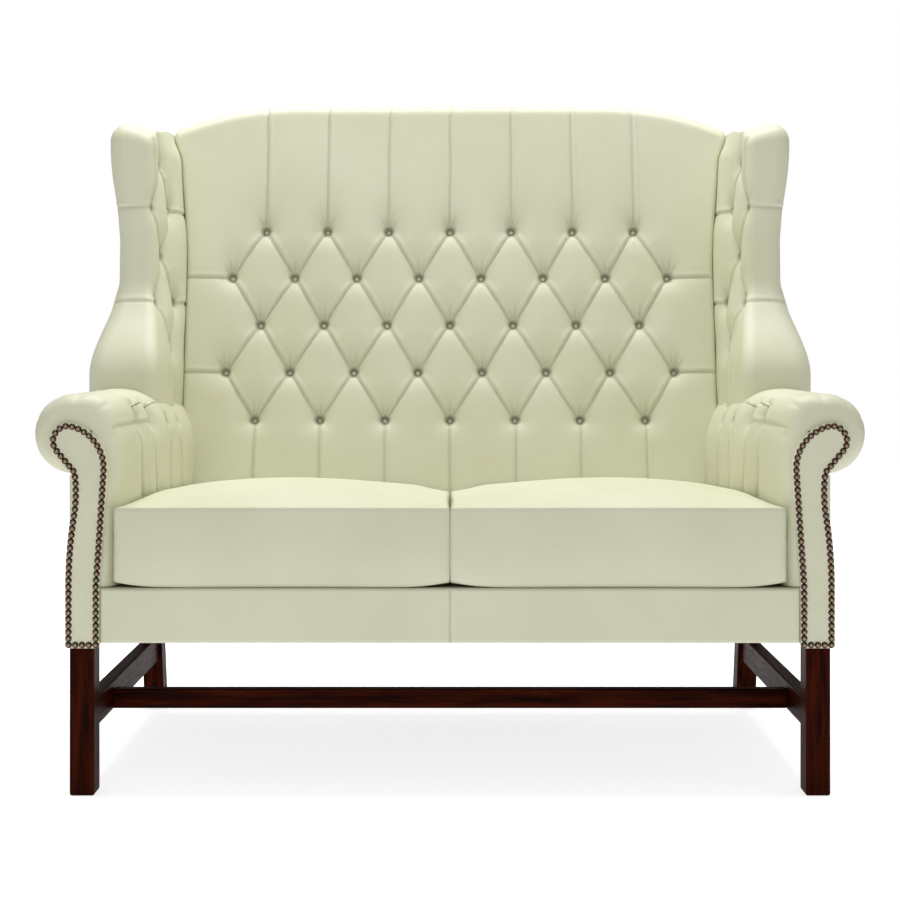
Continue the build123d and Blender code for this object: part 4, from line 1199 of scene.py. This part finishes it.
finishes = {
    "hide": hide,
    "nails": bronze,
    "webbing": strap,
    "lining": lining,
    "foam": foam,
    "zip": zip_tape,
}
woods = {"mahogany": mahogany, "frame_wood": beech}
for part in frame["record"]["subparts"]:
    node, slot = part["node"], part["material_slot"]
    finish = woods[slot][grain_axis(node)] if slot in woods else finishes[slot]
    if node == "seat_platform":
        finish = deck
    mesh = nodes[node].data
    mesh.materials.clear()
    mesh.materials.append(finish)


# Eased edges of the legs, stretchers and facings
eased = {"front_leg": 4, "rear_leg": 4, "side_stretcher": 3, "arm_facing": 3}
for base, radius in eased.items():
    for side_name, _ in hands:
        ease_edges(nodes[f"{base}_{side_name}"], radius)
ease_edges(nodes["cross_stretcher"], 3)


# Studio
def area_light(name, place, target, size, power):
    """Soft rectangular light aimed at a point."""
    lamp = bpy.data.lights.new(name, "AREA")
    lamp.shape = "RECTANGLE"
    lamp.size, lamp.size_y = size
    lamp.energy = power
    light = new_object(name, lamp)
    light.location = place
    light.rotation_euler = (Vector(target) - Vector(place)).to_track_quat("-Z", "Y").to_euler()


def make_floor():
    """Plain pale floor."""
    half = 12
    mesh = bpy.data.meshes.new("studio_floor")
    corners = [(-half, -half, 0), (half, -half, 0), (half, half, 0), (-half, half, 0)]
    mesh.from_pydata(corners, [], [(0, 1, 2, 3)])
    material, tree, shader, place = new_material("pale_floor")
    cloud = noise(tree, place, 2, 2)
    seen = add(tree, "ShaderNodeLightPath", {}).outputs["Is Camera Ray"]
    look = {
        "Base Color": mix_colour(tree, cloud, (0.90, 0.90, 0.90, 1), (0.92, 0.92, 0.92, 1)),
        "Roughness": 0.9,
        "Emission Color": (1, 1, 1, 1),
        "Emission Strength": ranged(tree, seen, 0, 1, 0.4, 0.74),
    }
    wire(tree, shader, look)
    mesh.materials.append(material)
    new_object("studio_floor", mesh)


def make_studio():
    """Floor, soft light and the photograph's camera."""
    make_floor()
    world = bpy.data.worlds.new("studio")
    world.use_nodes = True
    tree = world.node_tree
    seen = add(tree, "ShaderNodeLightPath", {}).outputs["Is Camera Ray"]
    sky = {"Color": (1, 1, 1, 1), "Strength": ranged(tree, seen, 0, 1, 0.3, 1.0)}
    wire(tree, tree.nodes["Background"], sky)
    bpy.context.scene.world = world
    bpy.context.scene.view_settings.view_transform = "Standard"
    area_light("overhead", (0, 0.2, 3.3), (0, 0, 0.5), (2.6, 1.4), 90)
    area_light("front_fill", (-0.6, -4.4, 1.9), (0, 0, 0.6), (2.6, 2.0), 24)
    lens = bpy.data.cameras.new("photo_camera")
    lens.sensor_width = sensor_width
    lens.lens = focal_pixels / image_size * sensor_width
    lens.shift_y = (horizon_pixel - image_size / 2) / image_size
    camera = new_object("photo_camera", lens)
    camera.location = (0, (facing_y - eye_distance) * MM, eye_height * MM)
    camera.rotation_euler = (radians(90), 0, 0)
    bpy.context.scene.camera = camera


make_studio()
